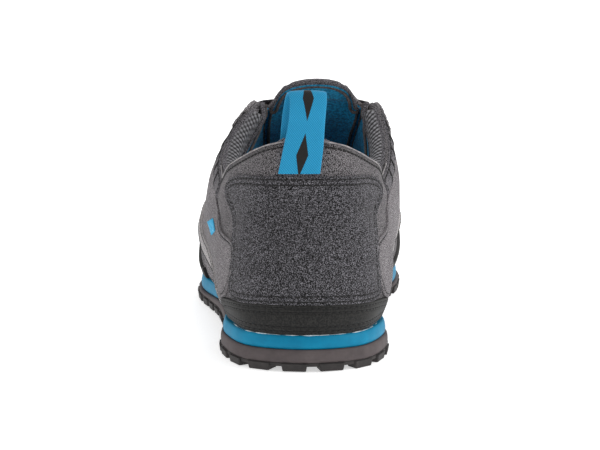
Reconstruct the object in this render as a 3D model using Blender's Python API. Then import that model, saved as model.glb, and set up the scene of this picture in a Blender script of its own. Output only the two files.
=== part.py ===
"""Left approach shoe, EU 42: outsole with lugs, two-layer midsole, hollow upper and its overlays.

The upper is worked out from one form, as on a last. A place on it is given by how far round the
foot it lies from the back of the heel (negative on the lateral side) and how far up the wall.
Every overlay, the tongue, the padding and the laces take their shape from that same form.
"""

import math

import bmesh
import bpy
import numpy as np
from mathutils import Matrix

MM = 0.001

# Form of the foot: the line where the upper meets the sole, and the height of the collar
LAST_LENGTH = 275 * MM
BALL_WIDTH = 93 * MM
COLLAR_HEIGHT = 83 * MM

# Sole, from the ground up
LUG_DEPTH = 2.0 * MM
OUTSOLE_SHEET = 1.6 * MM
LOWER_FOAM = 5.5 * MM
UPPER_FOAM = 5.7 * MM
TOE_SPRING = 12 * MM
RIM = 3.2 * MM

# Walls and clearances
UPPER_WALL = 2.2 * MM
OVERLAY = 1.2 * MM
CAP_THICKNESS = 1.5 * MM
RAND_THICKNESS = 1.6 * MM
TONGUE_THICKNESS = 3.6 * MM
TONGUE_HALF = 27 * MM
TONGUE_RISE = 9 * MM
INSOLE_THICKNESS = 3.6 * MM
GAP = 0.3 * MM
OVERLAY_GAP = 0.5 * MM
PANEL_GAP = 0.7 * MM
SEAM_GAP = 0.8 * MM
STRAIN = 0.1 * MM

# Lugs
RIM_LUG_PITCH = 14.5 * MM
RIM_LUG_LENGTH = 10.0 * MM
RIM_LUG_WIDTH = 10.0 * MM
LUG_STAND_OUT = 1.0 * MM
INNER_LUG_PITCH = 18.5 * MM
INNER_LUG_SIZE = 12.5 * MM
LUG_DRAFT = 0.8 * MM

# Lacing
EYELET_PAIRS = 5
EYELET_RADIUS = 4.0 * MM
EYELET_HOLE = 2.4 * MM
EYELET_HEIGHT = 1.1 * MM
EYELET_INSET = 8.0 * MM
LACE_WIDTH = 6.0 * MM
LACE_THICKNESS = 1.3 * MM
LACE_LIFT = 1.2 * MM
LACE_OVER = 0.45 * MM
FINGER_DEPTH = 7 * MM
EYESTAY_DEPTH = 14 * MM

# Heel overlays, as lengths up and round the heel
CAP_HEIGHT = 14 * MM
CAP_REACH = 58 * MM
COUNTER_TOP = 68 * MM
COUNTER_REACH = 74 * MM
COUNTER_CORE = 30 * MM
PANEL_REAR = 41 * MM
ENDS = np.array([1.5, 5.5]) * MM
RAND_ROWS = 4
PADDING_ROWS = 3

# Webbing loop
LOOP_WIDTH = 18 * MM
LOOP_THICKNESS = 1.4 * MM
LOOP_RISE = 21 * MM
LOOP_LEG = 17 * MM

MID_ROW = 0.3
ELLIPSE_HANDLE = 0.5523

# One row for each station from the back of the heel to the tip of the toe.
# along and top_along are shares of LAST_LENGTH; across, bulge and top_across of BALL_WIDTH;
# swell and top_up of COLLAR_HEIGHT, above the sole; rim is a share of RIM.
# roof is 0 where the wall ends upright and 1 where it ends lying flat, pitch its forward slope.
FORM_COLUMNS = (
    "along", "across", "rim", "bulge", "swell", "top_along", "top_across", "top_up", "roof", "pitch",
)
LATERAL = [
    (0.000, 0.000, 1.20, 0.032, 0.29, 0.024, 0.000, 1.000, 0.14, 0.0),
    (0.030, 0.237, 1.10, 0.034, 0.27, 0.034, 0.172, 0.976, 0.12, 0.0),
    (0.120, 0.355, 0.95, 0.032, 0.17, 0.130, 0.344, 0.843, 0.04, 0.0),
    (0.262, 0.360, 0.90, 0.075, 0.36, 0.270, 0.390, 0.732, 0.20, 0.0),
    (0.335, 0.376, 0.85, 0.088, 0.43, 0.346, 0.362, 0.865, 0.50, 0.0),
    (0.393, 0.398, 0.85, 0.088, 0.46, 0.411, 0.242, 1.050, 0.66, 0.0),
    (0.495, 0.457, 0.90, 0.066, 0.36, 0.487, 0.232, 0.945, 0.66, 0.0),
    (0.604, 0.521, 1.00, 0.028, 0.17, 0.589, 0.215, 0.775, 0.64, 0.0),
    (0.698, 0.518, 1.00, 0.022, 0.13, 0.684, 0.156, 0.620, 0.78, -0.1),
    (0.778, 0.484, 1.05, 0.022, 0.12, 0.738, 0.011, 0.545, 1.00, -0.35),
    (0.898, 0.355, 1.10, 0.022, 0.11, 0.822, 0.043, 0.415, 1.00, -0.36),
    (0.971, 0.151, 1.15, 0.022, 0.11, 0.873, 0.065, 0.345, 1.00, -0.34),
    (1.000, -0.075, 1.15, 0.022, 0.10, 0.895, 0.075, 0.310, 1.00, -0.33),
]
MEDIAL = [
    LATERAL[0],
    (0.030, 0.237, 1.10, 0.034, 0.27, 0.034, 0.172, 0.976, 0.12, 0.0),
    (0.120, 0.355, 0.95, 0.032, 0.19, 0.130, 0.333, 0.849, 0.04, 0.0),
    (0.262, 0.323, 0.70, 0.097, 0.41, 0.270, 0.371, 0.742, 0.20, 0.0),
    (0.335, 0.301, 0.55, 0.145, 0.48, 0.346, 0.385, 0.880, 0.55, 0.0),
    (0.400, 0.296, 0.50, 0.170, 0.51, 0.411, 0.345, 1.050, 0.70, 0.0),
    (0.516, 0.333, 0.60, 0.125, 0.41, 0.487, 0.290, 0.945, 0.66, 0.0),
    (0.662, 0.462, 0.85, 0.038, 0.19, 0.589, 0.237, 0.775, 0.64, 0.0),
    (0.749, 0.478, 1.00, 0.022, 0.14, 0.684, 0.183, 0.620, 0.78, -0.1),
    (0.829, 0.446, 1.00, 0.022, 0.12, 0.738, 0.011, 0.545, 1.00, -0.35),
    (0.927, 0.355, 1.05, 0.022, 0.11, 0.822, 0.043, 0.415, 1.00, -0.36),
    (0.982, 0.215, 1.10, 0.022, 0.11, 0.873, 0.065, 0.345, 1.00, -0.34),
    (1.000, 0.075, 1.15, 0.022, 0.10, 0.895, 0.075, 0.310, 1.00, -0.33),
]
COLLAR_FRONT = 5
THROAT_FRONT = 9
TOE = 12

# Sole heights: lift is a share of TOE_SPRING, lower and upper of the two foams at the heel
SOLE_COLUMNS = ("along", "lift", "lower", "upper")
SOLE = [
    (-0.020, 0.030, 0.98, 1.00),
    (0.030, 0.000, 1.00, 1.00),
    (0.240, 0.000, 0.88, 0.95),
    (0.400, 0.115, 0.60, 0.95),
    (0.560, 0.000, 0.33, 1.05),
    (0.700, 0.000, 0.22, 1.10),
    (0.800, 0.120, 0.20, 1.05),
    (0.920, 0.520, 0.20, 0.95),
    (1.020, 1.000, 0.20, 0.90),
]

# Thickness of the collar padding, by station from the back of the heel to the eyestay
PADDING = (5.0 * MM, 5.0 * MM, 5.5 * MM, 7.0 * MM, 8.5 * MM, 6.5 * MM)

# Columns of the mesh between one station and the next, the same on both sides
STATION_STEPS = (3, 4, 3, 3, 2, 3, 2, 3, 2, 3, 3, 3)
SOLE_STEPS = (2, 3, 2, 1, 1, 1, 2, 2, 2, 2, 3, 2)
WALL_ROWS = 9


def columns_of(names, rows):
    return {name: np.array([row[i] for row in rows], float) for i, name in enumerate(names)}


def both_sides(column):
    """A form column as one loop, from the toe back along the lateral side and on to the toe."""
    i = FORM_COLUMNS.index(column)
    lateral = [row[i] for row in LATERAL[::-1]]
    medial = [row[i] for row in MEDIAL[1:]]
    return np.array(lateral + medial, float)


def side_signs():
    return np.array([-1.0] * TOE + [0.0] + [1.0] * TOE)


def through(knots, values, at, closed=False):
    """A smooth curve through the rows of a table, read at many places."""
    knots, at = np.asarray(knots, float), np.asarray(at, float)
    values = np.asarray(values, float).reshape(len(knots), -1)
    if closed:
        period = knots[-1] - knots[0]
        at = knots[0] + np.mod(at - knots[0], period)
        k = np.concatenate([[knots[-2] - period], knots, [knots[1] + period]])
        v = np.vstack([values[-2], values, values[1]])
    else:
        k = np.concatenate([[2 * knots[0] - knots[1]], knots, [2 * knots[-1] - knots[-2]]])
        v = np.vstack([2 * values[0] - values[1], values, 2 * values[-1] - values[-2]])
    h = np.diff(k)[:, None]
    d = np.diff(v, axis=0) / h
    slope = (d[:-1] * h[1:] + d[1:] * h[:-1]) / (h[:-1] + h[1:])
    return hermite(knots, values, slope, at)


def steady(knots, values, at):
    """As through, but it never passes above or below the rows on either side."""
    knots, at = np.asarray(knots, float), np.asarray(at, float)
    values = np.asarray(values, float).reshape(len(knots), 1)
    h = np.diff(knots)[:, None]
    d = np.diff(values, axis=0) / h
    before, after = d[:-1], d[1:]
    same_way = before * after > 0
    mean = 2 * before * after / np.where(same_way, before + after, 1.0)
    inner = np.where(same_way, mean, 0.0)
    slope = np.vstack([d[:1], inner, d[-1:]])
    return hermite(knots, values, slope, np.clip(at, knots[0], knots[-1]))[..., 0]


def hermite(knots, values, slope, at):
    i = np.clip(np.searchsorted(knots, at, side="right") - 1, 0, len(knots) - 2)
    h = (knots[i + 1] - knots[i])[..., None]
    t = (at - knots[i])[..., None] / h
    return (
        (2 * t**3 - 3 * t**2 + 1) * values[i]
        + (t**3 - 2 * t**2 + t) * h * slope[i]
        + (3 * t**2 - 2 * t**3) * values[i + 1]
        + (t**3 - t**2) * h * slope[i + 1]
    )


def unit(vectors):
    return vectors / np.maximum(np.linalg.norm(vectors, axis=-1, keepdims=True), 1e-12)


SOLE_TABLE = columns_of(SOLE_COLUMNS, SOLE)
INDEX = np.arange(-TOE, TOE + 1)
FEATHER = np.stack(
    [
        both_sides("across") * side_signs() * BALL_WIDTH,
        both_sides("along") * LAST_LENGTH,
    ],
    axis=1,
)
FEATHER[0] = FEATHER[-1]
STEP_LENGTHS = np.linalg.norm(np.diff(FEATHER, axis=0), axis=1)
ROUND = np.concatenate([[0.0], np.cumsum(STEP_LENGTHS)])
ROUND -= ROUND[TOE]
PERIMETER = ROUND[-1] - ROUND[0]


def sole_height(column, y, full):
    return steady(SOLE_TABLE["along"], SOLE_TABLE[column], y / LAST_LENGTH) * full


def ground_lift(y):
    """Height of the lug faces off the floor: nothing under the heel and the ball."""
    return sole_height("lift", y, TOE_SPRING)


def outsole_top(y):
    return ground_lift(y) + LUG_DEPTH + OUTSOLE_SHEET


def lower_foam_top(y):
    return outsole_top(y) + GAP + sole_height("lower", y, LOWER_FOAM)


def sole_top(y):
    return lower_foam_top(y) + GAP + sole_height("upper", y, UPPER_FOAM)


def at_index(index):
    """Distance round the foot of a station index, negative on the lateral side."""
    return np.interp(index, INDEX, ROUND)


def index_at(s):
    return np.interp(wrapped(s), ROUND, INDEX)


def wrapped(s):
    return ROUND[0] + np.mod(np.asarray(s, float) - ROUND[0], PERIMETER)


def form_value(column, s):
    return through(ROUND, both_sides(column), s, closed=True)[..., 0]


def feather(s):
    """The line where the upper meets the sole, in plan, and its outward direction."""
    point = through(ROUND, FEATHER, s, closed=True)
    ahead = through(ROUND, FEATHER, s + STRAIN, closed=True)
    behind = through(ROUND, FEATHER, s - STRAIN, closed=True)
    run = unit(ahead - behind)
    return point, np.stack([run[..., 1], -run[..., 0]], axis=-1)


def top_edge(s):
    """Collar and throat edge, and in front of the throat the ridge where both sides join."""
    s = wrapped(s)
    index = index_at(s)
    keep = np.abs(INDEX) <= THROAT_FRONT
    rows = np.stack(
        [
            both_sides("top_across") * side_signs() * BALL_WIDTH,
            both_sides("top_along") * LAST_LENGTH,
            both_sides("top_up") * COLLAR_HEIGHT,
        ],
        axis=1,
    )
    rows[INDEX == -THROAT_FRONT, 0] *= -1
    edge = through(ROUND[keep], rows[keep], s)
    ridge_rows = rows[INDEX >= THROAT_FRONT]
    ridge = through(np.arange(THROAT_FRONT, TOE + 1), ridge_rows, np.abs(index))
    point = np.where((np.abs(index) >= THROAT_FRONT)[..., None], ridge, edge)
    point[..., 2] += sole_top(point[..., 1])
    return point


def bezier(a, b, c, d, t):
    return (1 - t) ** 3 * a + 3 * (1 - t) ** 2 * t * b + 3 * (1 - t) * t**2 * c + t**3 * d


def form(s, v):
    """Outer face of the upper: s is the distance round, v runs from 0 at the sole to 1 at the top."""
    s, v = np.broadcast_arrays(np.asarray(s, float), np.asarray(v, float))
    plan, outward = feather(s)
    base = np.concatenate([plan, (sole_top(plan[..., 1]) + GAP)[..., None]], axis=-1)
    side = np.concatenate([outward, np.zeros_like(outward[..., :1])], axis=-1)
    bulge = (form_value("bulge", s) * BALL_WIDTH)[..., None]
    swell = (form_value("swell", s) * COLLAR_HEIGHT)[..., None]
    up = np.array([0.0, 0.0, 1.0])
    widest = base + side * bulge + up * swell
    top = top_edge(s)
    roof = np.clip(form_value("roof", s), 0, 1)[..., None] * math.pi / 2
    pitch = form_value("pitch", s)[..., None]
    reach = widest - top
    flat = reach * np.array([1.0, 1.0, 0.0]) + up * pitch * reach[..., 1:2]
    handle = np.sin(roof) * flat + np.cos(roof) * up * reach[..., 2:3]
    low = np.clip(v / MID_ROW, 0, 1)[..., None]
    high = np.clip((v - MID_ROW) / (1 - MID_ROW), 0, 1)[..., None]
    lower = bezier(
        base,
        base + side * bulge * 0.6 + up * swell * 0.25,
        widest - up * swell * 0.45,
        widest,
        low,
    )
    upper = bezier(
        widest,
        widest - up * reach[..., 2:3] * ELLIPSE_HANDLE,
        top + handle * ELLIPSE_HANDLE,
        top,
        high,
    )
    return np.where((v <= MID_ROW)[..., None], lower, upper)


def form_normal(s, v):
    """Outward direction of the form at a place, from its slopes both ways."""
    dv = 0.004
    v = np.clip(v, dv, 1 - 3 * dv)
    run = form(s + STRAIN, v) - form(s - STRAIN, v)
    rise = form(s, v + dv) - form(s, v - dv)
    return unit(np.cross(run, rise))


def off_form(s, v, offset):
    """A place the given distance outside the form, or inside it where offset is negative."""
    s, v = np.broadcast_arrays(np.asarray(s, float), np.asarray(v, float))
    return form(s, v) + form_normal(s, v) * np.asarray(offset)[..., None]


def girth(s):
    """Places up the wall at one distance round, and the length of wall below each."""
    v = np.linspace(0, 1, 49)
    points = form(np.full_like(v, s), v)
    lengths = np.linalg.norm(np.diff(points, axis=0), axis=1)
    return v, np.concatenate([[0.0], np.cumsum(lengths)])


def up_wall(s, distance):
    """The v that lies a distance up the wall from the sole."""
    s, distance = np.broadcast_arrays(s, distance)
    places = [np.interp(d, *girth(one)[::-1]) for one, d in zip(s.ravel(), distance.ravel())]
    return np.array(places).reshape(s.shape)


def down_wall(s, distance):
    """The v that lies a distance below the top edge."""
    s, distance = np.broadcast_arrays(s, distance)
    found = []
    for one, d in zip(s.ravel(), distance.ravel()):
        v, length = girth(one)
        found.append(np.interp(length[-1] - d, length, v))
    return np.array(found).reshape(s.shape)


def link(name, mesh, colour, roughness):
    """A named object with its own material."""
    material = bpy.data.materials.new(name)
    material.use_nodes = True
    shader = material.node_tree.nodes["Principled BSDF"]
    shader.inputs["Base Color"].default_value = (*colour, 1.0)
    shader.inputs["Roughness"].default_value = roughness
    mesh.materials.append(material)
    mesh.shade_smooth()
    mesh.set_sharp_from_angle(angle=math.radians(35))
    thing = bpy.data.objects.new(name, mesh)
    bpy.context.scene.collection.objects.link(thing)
    return thing


def mesh_from(name, points, faces):
    """A mesh of unique corners, with its faces turned outward."""
    mesh = bpy.data.meshes.new(name)
    mesh.from_pydata([tuple(p) for p in points], [], faces)
    work = bmesh.new()
    work.from_mesh(mesh)
    bmesh.ops.remove_doubles(work, verts=work.verts, dist=0.01 * MM)
    bmesh.ops.dissolve_degenerate(work, edges=work.edges, dist=0.001 * MM)
    bmesh.ops.recalc_face_normals(work, faces=work.faces)
    if work.calc_volume(signed=True) < 0:
        bmesh.ops.reverse_faces(work, faces=work.faces)
    work.to_mesh(mesh)
    work.free()
    return mesh


def grid_faces(rows, cols, start=0, flip=False, closed=False):
    """Quads over a grid of points kept row by row. closed joins the last column to the first."""
    faces = []
    for i in range(rows - 1):
        for j in range(cols if closed else cols - 1):
            a = start + i * cols + j
            b = start + i * cols + (j + 1) % cols
            quad = (a, b, b + cols, a + cols)
            faces.append(quad[::-1] if flip else quad)
    return faces


def slab_from_grids(name, outer, inner):
    """A closed sheet between two grids of the same size, such as an overlay."""
    rows, cols = outer.shape[:2]
    count = rows * cols
    points = np.concatenate([outer.reshape(-1, 3), inner.reshape(-1, 3)])
    faces = grid_faces(rows, cols) + grid_faces(rows, cols, count, flip=True)
    border = (
        [j for j in range(cols)]
        + [i * cols + cols - 1 for i in range(1, rows)]
        + [(rows - 1) * cols + j for j in range(cols - 2, -1, -1)]
        + [i * cols for i in range(rows - 2, 0, -1)]
    )
    for a, b in zip(border, border[1:] + border[:1]):
        faces.append((b, a, a + count, b + count))
    return mesh_from(name, points, faces)


def rest_on_sole(points):
    """Lift any place that the offset has carried into the midsole."""
    points[..., 2] = np.maximum(points[..., 2], sole_top(points[..., 1]) + GAP)
    return points


def overlay(name, s, v, thickness, gap=OVERLAY_GAP):
    """A panel of even thickness over the form, on a grid of places round and up."""
    inner = rest_on_sole(off_form(s, v, gap))
    outer = rest_on_sole(off_form(s, v, gap + thickness))
    return slab_from_grids(name, outer, inner)


def loop_columns(steps):
    """Distances round the foot of the mesh columns: lateral from toe to heel, then medial."""
    ahead = [i + k / n for i, n in enumerate(steps) for k in range(n)] + [TOE]
    index = np.array([-i for i in ahead[::-1]] + ahead[1:])
    return index, at_index(index)


def columns_between(first, last, least=1.5 * MM):
    """The columns of the upper's own mesh from one distance round to another, ends included."""
    s = loop_columns(STATION_STEPS)[1]
    s = np.unique(np.concatenate([s, s + PERIMETER]))
    inside = s[(s > first + least) & (s < last - least)]
    return np.concatenate([[first], inside, [last]])


def solid_from_rings(name, rings, cap_rows, bottom, top):
    """A slab with shaped sides. Each ring goes round the foot from the toe and back to it, and
    strips from the lateral to the medial side close the first ring below and the last above."""
    count = rings[0].shape[0] - 1
    points = [ring[:count] for ring in rings]
    faces = grid_faces(len(rings), count, closed=True)
    total = len(rings) * count
    heel = count // 2
    for ring, height, flip in ((0, bottom, True), (len(rings) - 1, top, False)):
        edge = rings[ring]
        rows = []
        for i in range(heel + 1):
            lateral, medial = i, (count - i) % count
            row = [ring * count + lateral]
            if 0 < i < heel:
                for k in range(1, cap_rows):
                    place = edge[lateral] + (edge[medial] - edge[lateral]) * k / cap_rows
                    place = np.array([place[0], place[1], height(place[0], place[1])])
                    points.append(place[None, :])
                    row.append(total)
                    total += 1
                row.append(ring * count + medial)
            else:
                row = row * (cap_rows + 1)
            rows.append(row)
        for a, b in zip(rows, rows[1:]):
            for k in range(cap_rows):
                quad = list(dict.fromkeys([a[k], a[k + 1], b[k + 1], b[k]]))
                if len(quad) > 2:
                    faces.append(quad[::-1] if flip else quad)
    return mesh_from(name, np.concatenate(points), faces)


def sole_ring(s, stand_out, height):
    """One ring of the sole: the feather line moved out by a share of the rim, at a height."""
    plan, outward = feather(s)
    rim = (form_value("rim", s) * RIM)[..., None]
    place = plan + outward * (rim * stand_out)
    return np.concatenate([place, height(place[..., 1])[..., None]], axis=-1)


def midsole_lower(s):
    """Grey-brown foam: a wedge that is thick at the heel and thin at the ball."""
    def foot(y):
        return outsole_top(y) + GAP

    def middle(y):
        return foot(y) + sole_height("lower", y, LOWER_FOAM) * 0.5

    rings = [
        sole_ring(s, 1.0, foot),
        sole_ring(s, 1.06, middle),
        sole_ring(s, 0.92, lower_foam_top),
    ]
    mesh = solid_from_rings(
        "midsole_lower", rings, 2, lambda x, y: foot(y), lambda x, y: lower_foam_top(y)
    )
    return link("midsole_lower", mesh, (0.10, 0.085, 0.085), 0.7)


def midsole_upper(s):
    """Blue foam: its side leans in towards the upper, with a small step under the edge."""
    def foot(y):
        return lower_foam_top(y) + GAP

    def part_way(share):
        return lambda y: foot(y) + sole_height("upper", y, UPPER_FOAM) * share

    rings = [
        sole_ring(s, 0.72, foot),
        sole_ring(s, 0.80, part_way(0.2)),
        sole_ring(s, 0.62, part_way(0.75)),
        sole_ring(s, 0.42, sole_top),
    ]
    mesh = solid_from_rings(
        "midsole_upper", rings, 2, lambda x, y: foot(y), lambda x, y: sole_top(y)
    )
    return link("midsole_upper", mesh, (0.02, 0.28, 0.48), 0.55)


def prism(points_low, points_high, work):
    """A closed lug between two outlines, added to a bmesh."""
    low = [work.verts.new(p) for p in points_low]
    high = [work.verts.new(p) for p in points_high]
    count = len(low)
    work.faces.new(low[::-1])
    work.faces.new(high)
    for i in range(count):
        j = (i + 1) % count
        work.faces.new((low[i], low[j], high[j], high[i]))


def lug_corners(corners, draft):
    """The corners of a lug drawn in towards its middle, so that its sides slope."""
    middle = corners.mean(axis=0)
    inward = unit(middle - corners)
    return corners + inward * draft


def add_lug(work, corners, top_share=0.7):
    """A lug from the lug plane up into the sheet, for the union that follows."""
    face = lug_corners(corners, LUG_DRAFT)
    low = [(x, y, float(ground_lift(y))) for x, y in face]
    high = [
        (x, y, float(ground_lift(y)) + LUG_DEPTH + OUTSOLE_SHEET * top_share) for x, y in corners
    ]
    prism(low, high, work)


def rim_lugs(work):
    """Teeth round the edge of the outsole, standing a little out of its side."""
    count = int(round(PERIMETER / RIM_LUG_PITCH))
    pitch = PERIMETER / count
    for k in range(count):
        middle = ROUND[0] + (k + 0.5) * pitch
        ends = np.array([middle - RIM_LUG_LENGTH / 2, middle + RIM_LUG_LENGTH / 2])
        plan, outward = feather(ends)
        rim = (form_value("rim", ends) * RIM)[:, None]
        outer = plan + outward * (rim + LUG_STAND_OUT)
        inner = plan + outward * (rim + LUG_STAND_OUT - RIM_LUG_WIDTH * (1.0 - 0.25 * (k % 2)))
        add_lug(work, np.array([outer[0], outer[1], inner[1], inner[0]]), 0.8)


def half_widths(y):
    """Lateral and medial edge of the sole across the foot at a distance along it."""
    edge = sole_ring(at_index(np.linspace(-TOE, TOE, 241)), 1.0, ground_lift)
    lateral, medial = edge[:121][::-1], edge[120:]
    return np.interp(y, lateral[:, 1], lateral[:, 0]), np.interp(y, medial[:, 1], medial[:, 0])


def inner_lugs(work):
    """Square lugs inside the rim, in rows from heel to toe, every other row turned on its corner."""
    margin = RIM_LUG_WIDTH + INNER_LUG_SIZE * 0.62
    rows = int((LAST_LENGTH - 2 * margin) / INNER_LUG_PITCH) + 1
    for row in range(rows):
        y = margin + row * INNER_LUG_PITCH
        left, right = half_widths(y)
        room = right - left - 2 * margin
        columns = max(1, int(room / INNER_LUG_PITCH) + 1)
        if room < 0:
            continue
        for column in range(columns):
            share = 0.5 if columns == 1 else column / (columns - 1)
            x = left + margin + room * share
            turn = math.radians(45 if row % 2 else 0)
            angles = turn + np.arange(4) * math.pi / 2
            radius = INNER_LUG_SIZE / 2
            corners = np.stack([x + radius * np.cos(angles), y + radius * np.sin(angles)], axis=1)
            add_lug(work, corners)


def outsole(s):
    """Black rubber sheet with its lugs joined on."""
    def lug_root(y):
        return ground_lift(y) + LUG_DEPTH

    rings = [sole_ring(s, 0.85, lug_root), sole_ring(s, 1.0, outsole_top)]
    sheet = solid_from_rings(
        "outsole", rings, 3, lambda x, y: lug_root(y), lambda x, y: outsole_top(y)
    )
    thing = link("outsole", sheet, (0.03, 0.03, 0.03), 0.75)
    work = bmesh.new()
    rim_lugs(work)
    inner_lugs(work)
    bmesh.ops.recalc_face_normals(work, faces=work.faces)
    lugs = bpy.data.meshes.new("lugs")
    work.to_mesh(lugs)
    work.free()
    tool = bpy.data.objects.new("lugs", lugs)
    bpy.context.scene.collection.objects.link(tool)
    tool.hide_render = True
    tool.display_type = "WIRE"
    union = thing.modifiers.new("lugs", "BOOLEAN")
    union.operation = "UNION"
    union.solver = "EXACT"
    union.use_self = True
    union.object = tool
    return thing


def insole(s):
    """Footbed inside the upper, clear of its wall."""
    def ring(height):
        plan, outward = feather(s)
        place = plan - outward * (UPPER_WALL + 2 * GAP + 0.6 * MM)
        return np.concatenate([place, height(place[..., 1])[..., None]], axis=-1)

    def foot(y):
        return sole_top(y) + GAP

    def top(y):
        return foot(y) + INSOLE_THICKNESS

    mesh = solid_from_rings(
        "insole", [ring(foot), ring(top)], 2, lambda x, y: foot(y), lambda x, y: top(y)
    )
    return link("insole", mesh, (0.02, 0.02, 0.025), 0.8)


def upper_grid(s):
    """The form as a grid, row by row up the wall, with the ridge points of both sides shared."""
    v = np.linspace(0, 1, WALL_ROWS + 1)
    return form(s[None, :], v[:, None]), v


def upper(index, s):
    """The hollow shell: open at the collar and the throat, and underneath over the midsole."""
    outer, v = upper_grid(s)
    normal = form_normal(*np.broadcast_arrays(s[None, :], v[:, None]))
    ridge = np.abs(index) >= THROAT_FRONT - 1e-6
    other = np.arange(len(s))[::-1]
    shared = unit(normal[-1] + normal[-1][other])
    normal[-1][ridge] = shared[ridge]
    inner = outer - normal * UPPER_WALL
    inner[-1][ridge] = 0.5 * (inner[-1] + inner[-1][other])[ridge]
    inner[0, :, 2] = outer[0, :, 2]
    rows, cols = outer.shape[0], outer.shape[1] - 1
    points = np.concatenate([outer[:, :cols].reshape(-1, 3), inner[:, :cols].reshape(-1, 3)])
    count = rows * cols
    faces = grid_faces(rows, cols, closed=True) + grid_faces(rows, cols, count, True, True)
    top = (rows - 1) * cols
    for j in range(cols):
        k = (j + 1) % cols
        faces.append((k, j, j + count, k + count))
        if not (ridge[j] and ridge[j + 1]):
            faces.append((top + j, top + k, top + k + count, top + j + count))
    mesh = mesh_from("upper", points, faces)
    return link("upper", mesh, (0.13, 0.12, 0.125), 0.9)


def counter_half(up):
    """How far the heel panel reaches round the foot, by share of its height: waisted."""
    rows = [(0.0, 0.53), (0.17, 0.49), (0.36, 0.49), (0.6, 0.55), (0.8, 0.73), (1.0, 0.98)]
    shares = np.array(rows)
    return through(shares[:, 0], shares[:, 1], up)[..., 0] * COUNTER_REACH


def cap_top(s):
    """Height of the heel band up the wall: it falls a little towards its ends."""
    return CAP_HEIGHT * (1 - 0.30 * (s / CAP_REACH) ** 2)


def counter():
    """Waisted heel panel with rounded top corners, above the heel band."""
    across = columns_between(-COUNTER_REACH, COUNTER_REACH)[None, :]
    up = np.array([0, 0.17, 0.36, 0.56, 0.76, 0.92, 1.0])[:, None]
    corner = np.clip((up - 0.86) / 0.14, 0, 1)
    half = counter_half(up) * (0.86 + 0.14 * np.sqrt(1 - corner**2))
    beyond = np.maximum(np.abs(across) - COUNTER_CORE, 0)
    stretch = (half - COUNTER_CORE) / (COUNTER_REACH - COUNTER_CORE)
    s = np.sign(across) * (np.minimum(np.abs(across), COUNTER_CORE) + beyond * stretch)
    low = cap_top(s) + SEAM_GAP
    high = COUNTER_TOP * (1 - 0.20 * np.abs(s / COUNTER_REACH) ** 2.2)
    v = up_wall(s, low + (high - low) * up)
    mesh = overlay("counter", s, v, OVERLAY)
    return link("counter", mesh, (0.08, 0.08, 0.08), 0.9)


def heel_cap():
    """Dark band round the foot of the heel, with rounded ends."""
    across = columns_between(-CAP_REACH, CAP_REACH)[None, :]
    up = np.array([0, 0.15, 0.5, 0.85, 1.0])[:, None]
    s = across * (1 - 0.06 * np.abs(2 * up - 1) ** 2 * np.abs(across / CAP_REACH) ** 4)
    v = up_wall(s, 0.4 * MM + (cap_top(s) - 0.4 * MM) * up)
    mesh = overlay("heel_cap", s, v, CAP_THICKNESS)
    return link("heel_cap", mesh, (0.035, 0.035, 0.034), 0.7)


def toe_rand():
    """Rubber rand round the forefoot and toe, as high as a row of the upper's own mesh and
    tapering to its ends."""
    s = columns_between(at_index(6.4), at_index(-6.2) + PERIMETER)[None, :]
    along = (s - s[0, 0]) / (s[0, -1] - s[0, 0])
    ends = np.clip(np.sin(np.pi * along) * 2.2, 0.22, 1)
    v = ends * np.arange(RAND_ROWS + 1)[:, None] / WALL_ROWS
    mesh = overlay("toe_rand", np.broadcast_to(s, v.shape), v, RAND_THICKNESS, PANEL_GAP)
    return link("toe_rand", mesh, (0.03, 0.03, 0.03), 0.65)


def eyelet_places(side):
    """Distances round the foot of the eyelets on one side, from the top one to the front."""
    index = side * np.linspace(COLLAR_FRONT + 0.55, THROAT_FRONT - 1.0, EYELET_PAIRS)
    return at_index(index)


def eyestay_ends(side):
    return at_index(side * (COLLAR_FRONT - 0.1)), at_index(side * (THROAT_FRONT - 0.3))


def eyestay_depth(side, s):
    """How far the facing reaches down the side: it swells below each eyelet."""
    first, last = eyestay_ends(side)
    places = eyelet_places(side)
    pitch = np.abs(places[-1] - places[0]) / (EYELET_PAIRS - 1)
    nearest = np.abs(s[..., None] - places).min(axis=-1) / pitch
    finger = 0.5 + 0.5 * np.cos(np.clip(nearest, 0, 0.5) * 2 * np.pi)
    share = np.clip((s - first) / (last - first), 0, 1)
    return (EYESTAY_DEPTH + FINGER_DEPTH * finger) * (1 - 0.3 * share)


def eyestay(side, name):
    """Facing along the throat, scalloped below its eyelets."""
    first, last = eyestay_ends(side)
    s = np.linspace(first, last, 21)[None, :]
    down = np.linspace(1, 0, 3)[:, None]
    s, distance = np.broadcast_arrays(s, 0.5 * MM + eyestay_depth(side, s) * down)
    mesh = overlay(name, s, down_wall(s, distance), OVERLAY)
    return link(name, mesh, (0.12, 0.115, 0.118), 0.9)


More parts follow.
